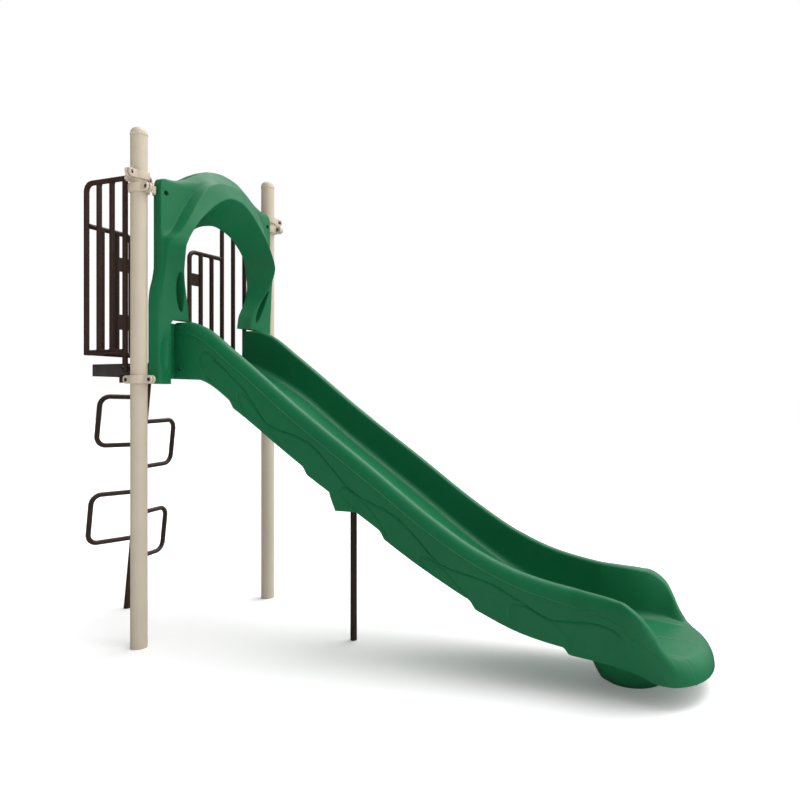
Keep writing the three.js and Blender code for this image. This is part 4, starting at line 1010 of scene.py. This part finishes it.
def foot_body():
    """The chute's open foot: a tapered tub with rounded edges."""
    def wall(share, skin=0):
        return 134 + 94 * share**0.85 - skin, FOOT_HEIGHT * share

    outer = [(0, 0), (110, 0), (118, 1.2), (124, 5), (128, 12)]
    outer += [wall(share) for share in (0.1, 0.2, 0.35, 0.5, 0.65, 0.8, 0.92)]
    outer += [(226, FOOT_HEIGHT - 4), (227, FOOT_HEIGHT - 1), (225, FOOT_HEIGHT), (220, FOOT_HEIGHT)]
    inner = [wall(share, FOOT_SKIN) for share in (0.96, 0.7, 0.4, 0.15)]
    inner += [(112, 16), (104, 11), (96, FOOT_SKIN), (0, FOOT_SKIN)]
    stretch = Matrix.Translation((FOOT_X, 0, 0)) @ Matrix.Diagonal((FOOT_STRETCH, 1, 1, 1))
    return lathe(outer + inner, 72).moved(stretch)


def build_supports():
    show("chute_foot", foot_body(), "green_moulding", sharp=45)
    run = 20
    along = Vector((2 * run, 0, float(floor_z(LEG_X + run) - floor_z(LEG_X - run)))).normalized()
    up = Vector((-along.z, 0, along.x))
    under = Vector((LEG_X, 0, float(floor_z(LEG_X)))) + up * (-SKIN - 1.5)
    turn = Matrix((along, (0, 1, 0), up)).transposed().to_4x4()
    plate = prism([(-59, -45), (59, -45), (59, 45), (-59, 45)], -6, 0).moved(Matrix.Translation(under) @ turn)
    show_softened("leg_saddle", plate, 1.6)
    seat = under - up * 6.3
    rings = []
    for radius, low in ((17.5, 0), (19, 1.5), (19, 300), (19, None)):
        ring = []
        for a in full_turn(32):
            x, y = LEG_X + radius * math.cos(a), radius * math.sin(a)
            level = seat.z + (x - seat.x) * along.z / along.x if low is None else low
            ring.append(Vector((x, y, level)))
        rings.append(ring)
    bead = weld((LEG_X, 0, seat.z), up, 22, 3)
    show("support_leg", rings_to_body(rings).add(bead), "brown_powder_coat")
    bolt_at = under + along * 47
    add_bolt("leg_saddle_bolt", tuple(bolt_at + up * (SKIN + 2.5)), tuple(-up), 17)


build_posts()
build_deck()
build_barriers()
build_ladder()
build_hood()
build_chute()
build_supports()

# ---- Floor, light and camera ----
floor_mesh = bpy.data.meshes.new("floor")
floor_mesh.from_pydata([(-40, -40, 0), (40, -40, 0), (40, 40, 0), (-40, 40, 0)], [], [(0, 1, 2, 3)])
floor = bpy.data.objects.new("floor", floor_mesh)
bpy.context.scene.collection.objects.link(floor)
floor.data.materials.append(
    procedural("pale_floor", (0.9, 0.9, 0.9), 0.8, variation=0.004, cloud=0.5, bump=0.02))
floor.visible_glossy = False
floor_shader = floor.data.materials[0].node_tree.nodes["Principled BSDF"]
floor_shader.inputs["Emission Color"].default_value = (1, 1, 1, 1)
floor_shader.inputs["Emission Strength"].default_value = 0.17

# The studio is white to the camera. To everything else it is a sky, brightest high up.
world = bpy.data.worlds.new("studio")
world.use_nodes = True
world_nodes, world_links = world.node_tree.nodes, world.node_tree.links
fill = world_nodes["Background"]
fill.inputs["Strength"].default_value = 2.0
facing = world_nodes.new("ShaderNodeVectorMath")
facing.operation = "DOT_PRODUCT"
facing.inputs[1].default_value = (0.4, 0.3, 0.87)
world_links.new(world_nodes.new("ShaderNodeTexCoord").outputs["Generated"], facing.inputs[0])
sky = world_nodes.new("ShaderNodeValToRGB")
SKY_STOPS = [(0, 0.02), (0.15, 0.04), (0.4, 0.14), (0.68, 0.5), (1, 1)]
set_stops(sky, [(position, (level,) * 3) for position, level in SKY_STOPS])
world_links.new(facing.outputs["Value"], sky.inputs["Fac"])
backdrop = world_nodes.new("ShaderNodeBackground")
backdrop.inputs["Strength"].default_value = 1.0
for background in (fill, backdrop):
    background.inputs["Color"].default_value = (1, 1, 1, 1)
world_links.new(sky.outputs["Color"], fill.inputs["Color"])
either = world_nodes.new("ShaderNodeMixShader")
world_links.new(world_nodes.new("ShaderNodeLightPath").outputs["Is Camera Ray"], either.inputs["Fac"])
world_links.new(fill.outputs["Background"], either.inputs[1])
world_links.new(backdrop.outputs["Background"], either.inputs[2])
world_links.new(either.outputs["Shader"], world_nodes["World Output"].inputs["Surface"])
bpy.context.scene.world = world


def sun(name, towards, strength, softness):
    data = bpy.data.lights.new(name, "SUN")
    data.energy = strength
    data.angle = math.radians(softness)
    light = bpy.data.objects.new(name, data)
    light.rotation_euler = Vector(towards).to_track_quat("-Z", "Y").to_euler()
    bpy.context.scene.collection.objects.link(light)


sun("overhead", (-0.2, -0.3, -1), 1.6, 50)
sun("front", (-0.85, 0.25, -0.5), 0.5, 40)

camera_data = bpy.data.cameras.new("camera")
camera_data.lens = 31.93
camera_data.sensor_width = 36
camera_data.shift_x = -0.137
camera_data.shift_y = -0.0017
camera_data.clip_end = 200
camera = bpy.data.objects.new("camera", camera_data)
camera.location = (3.4176 + PLANE, -3.5781, 1.4204)
camera.rotation_euler = (math.pi / 2, 0, math.radians(20.83))
bpy.context.scene.collection.objects.link(camera)
bpy.context.scene.camera = camera
bpy.context.scene.view_settings.view_transform = "Standard"

bpy.context.view_layer.update()
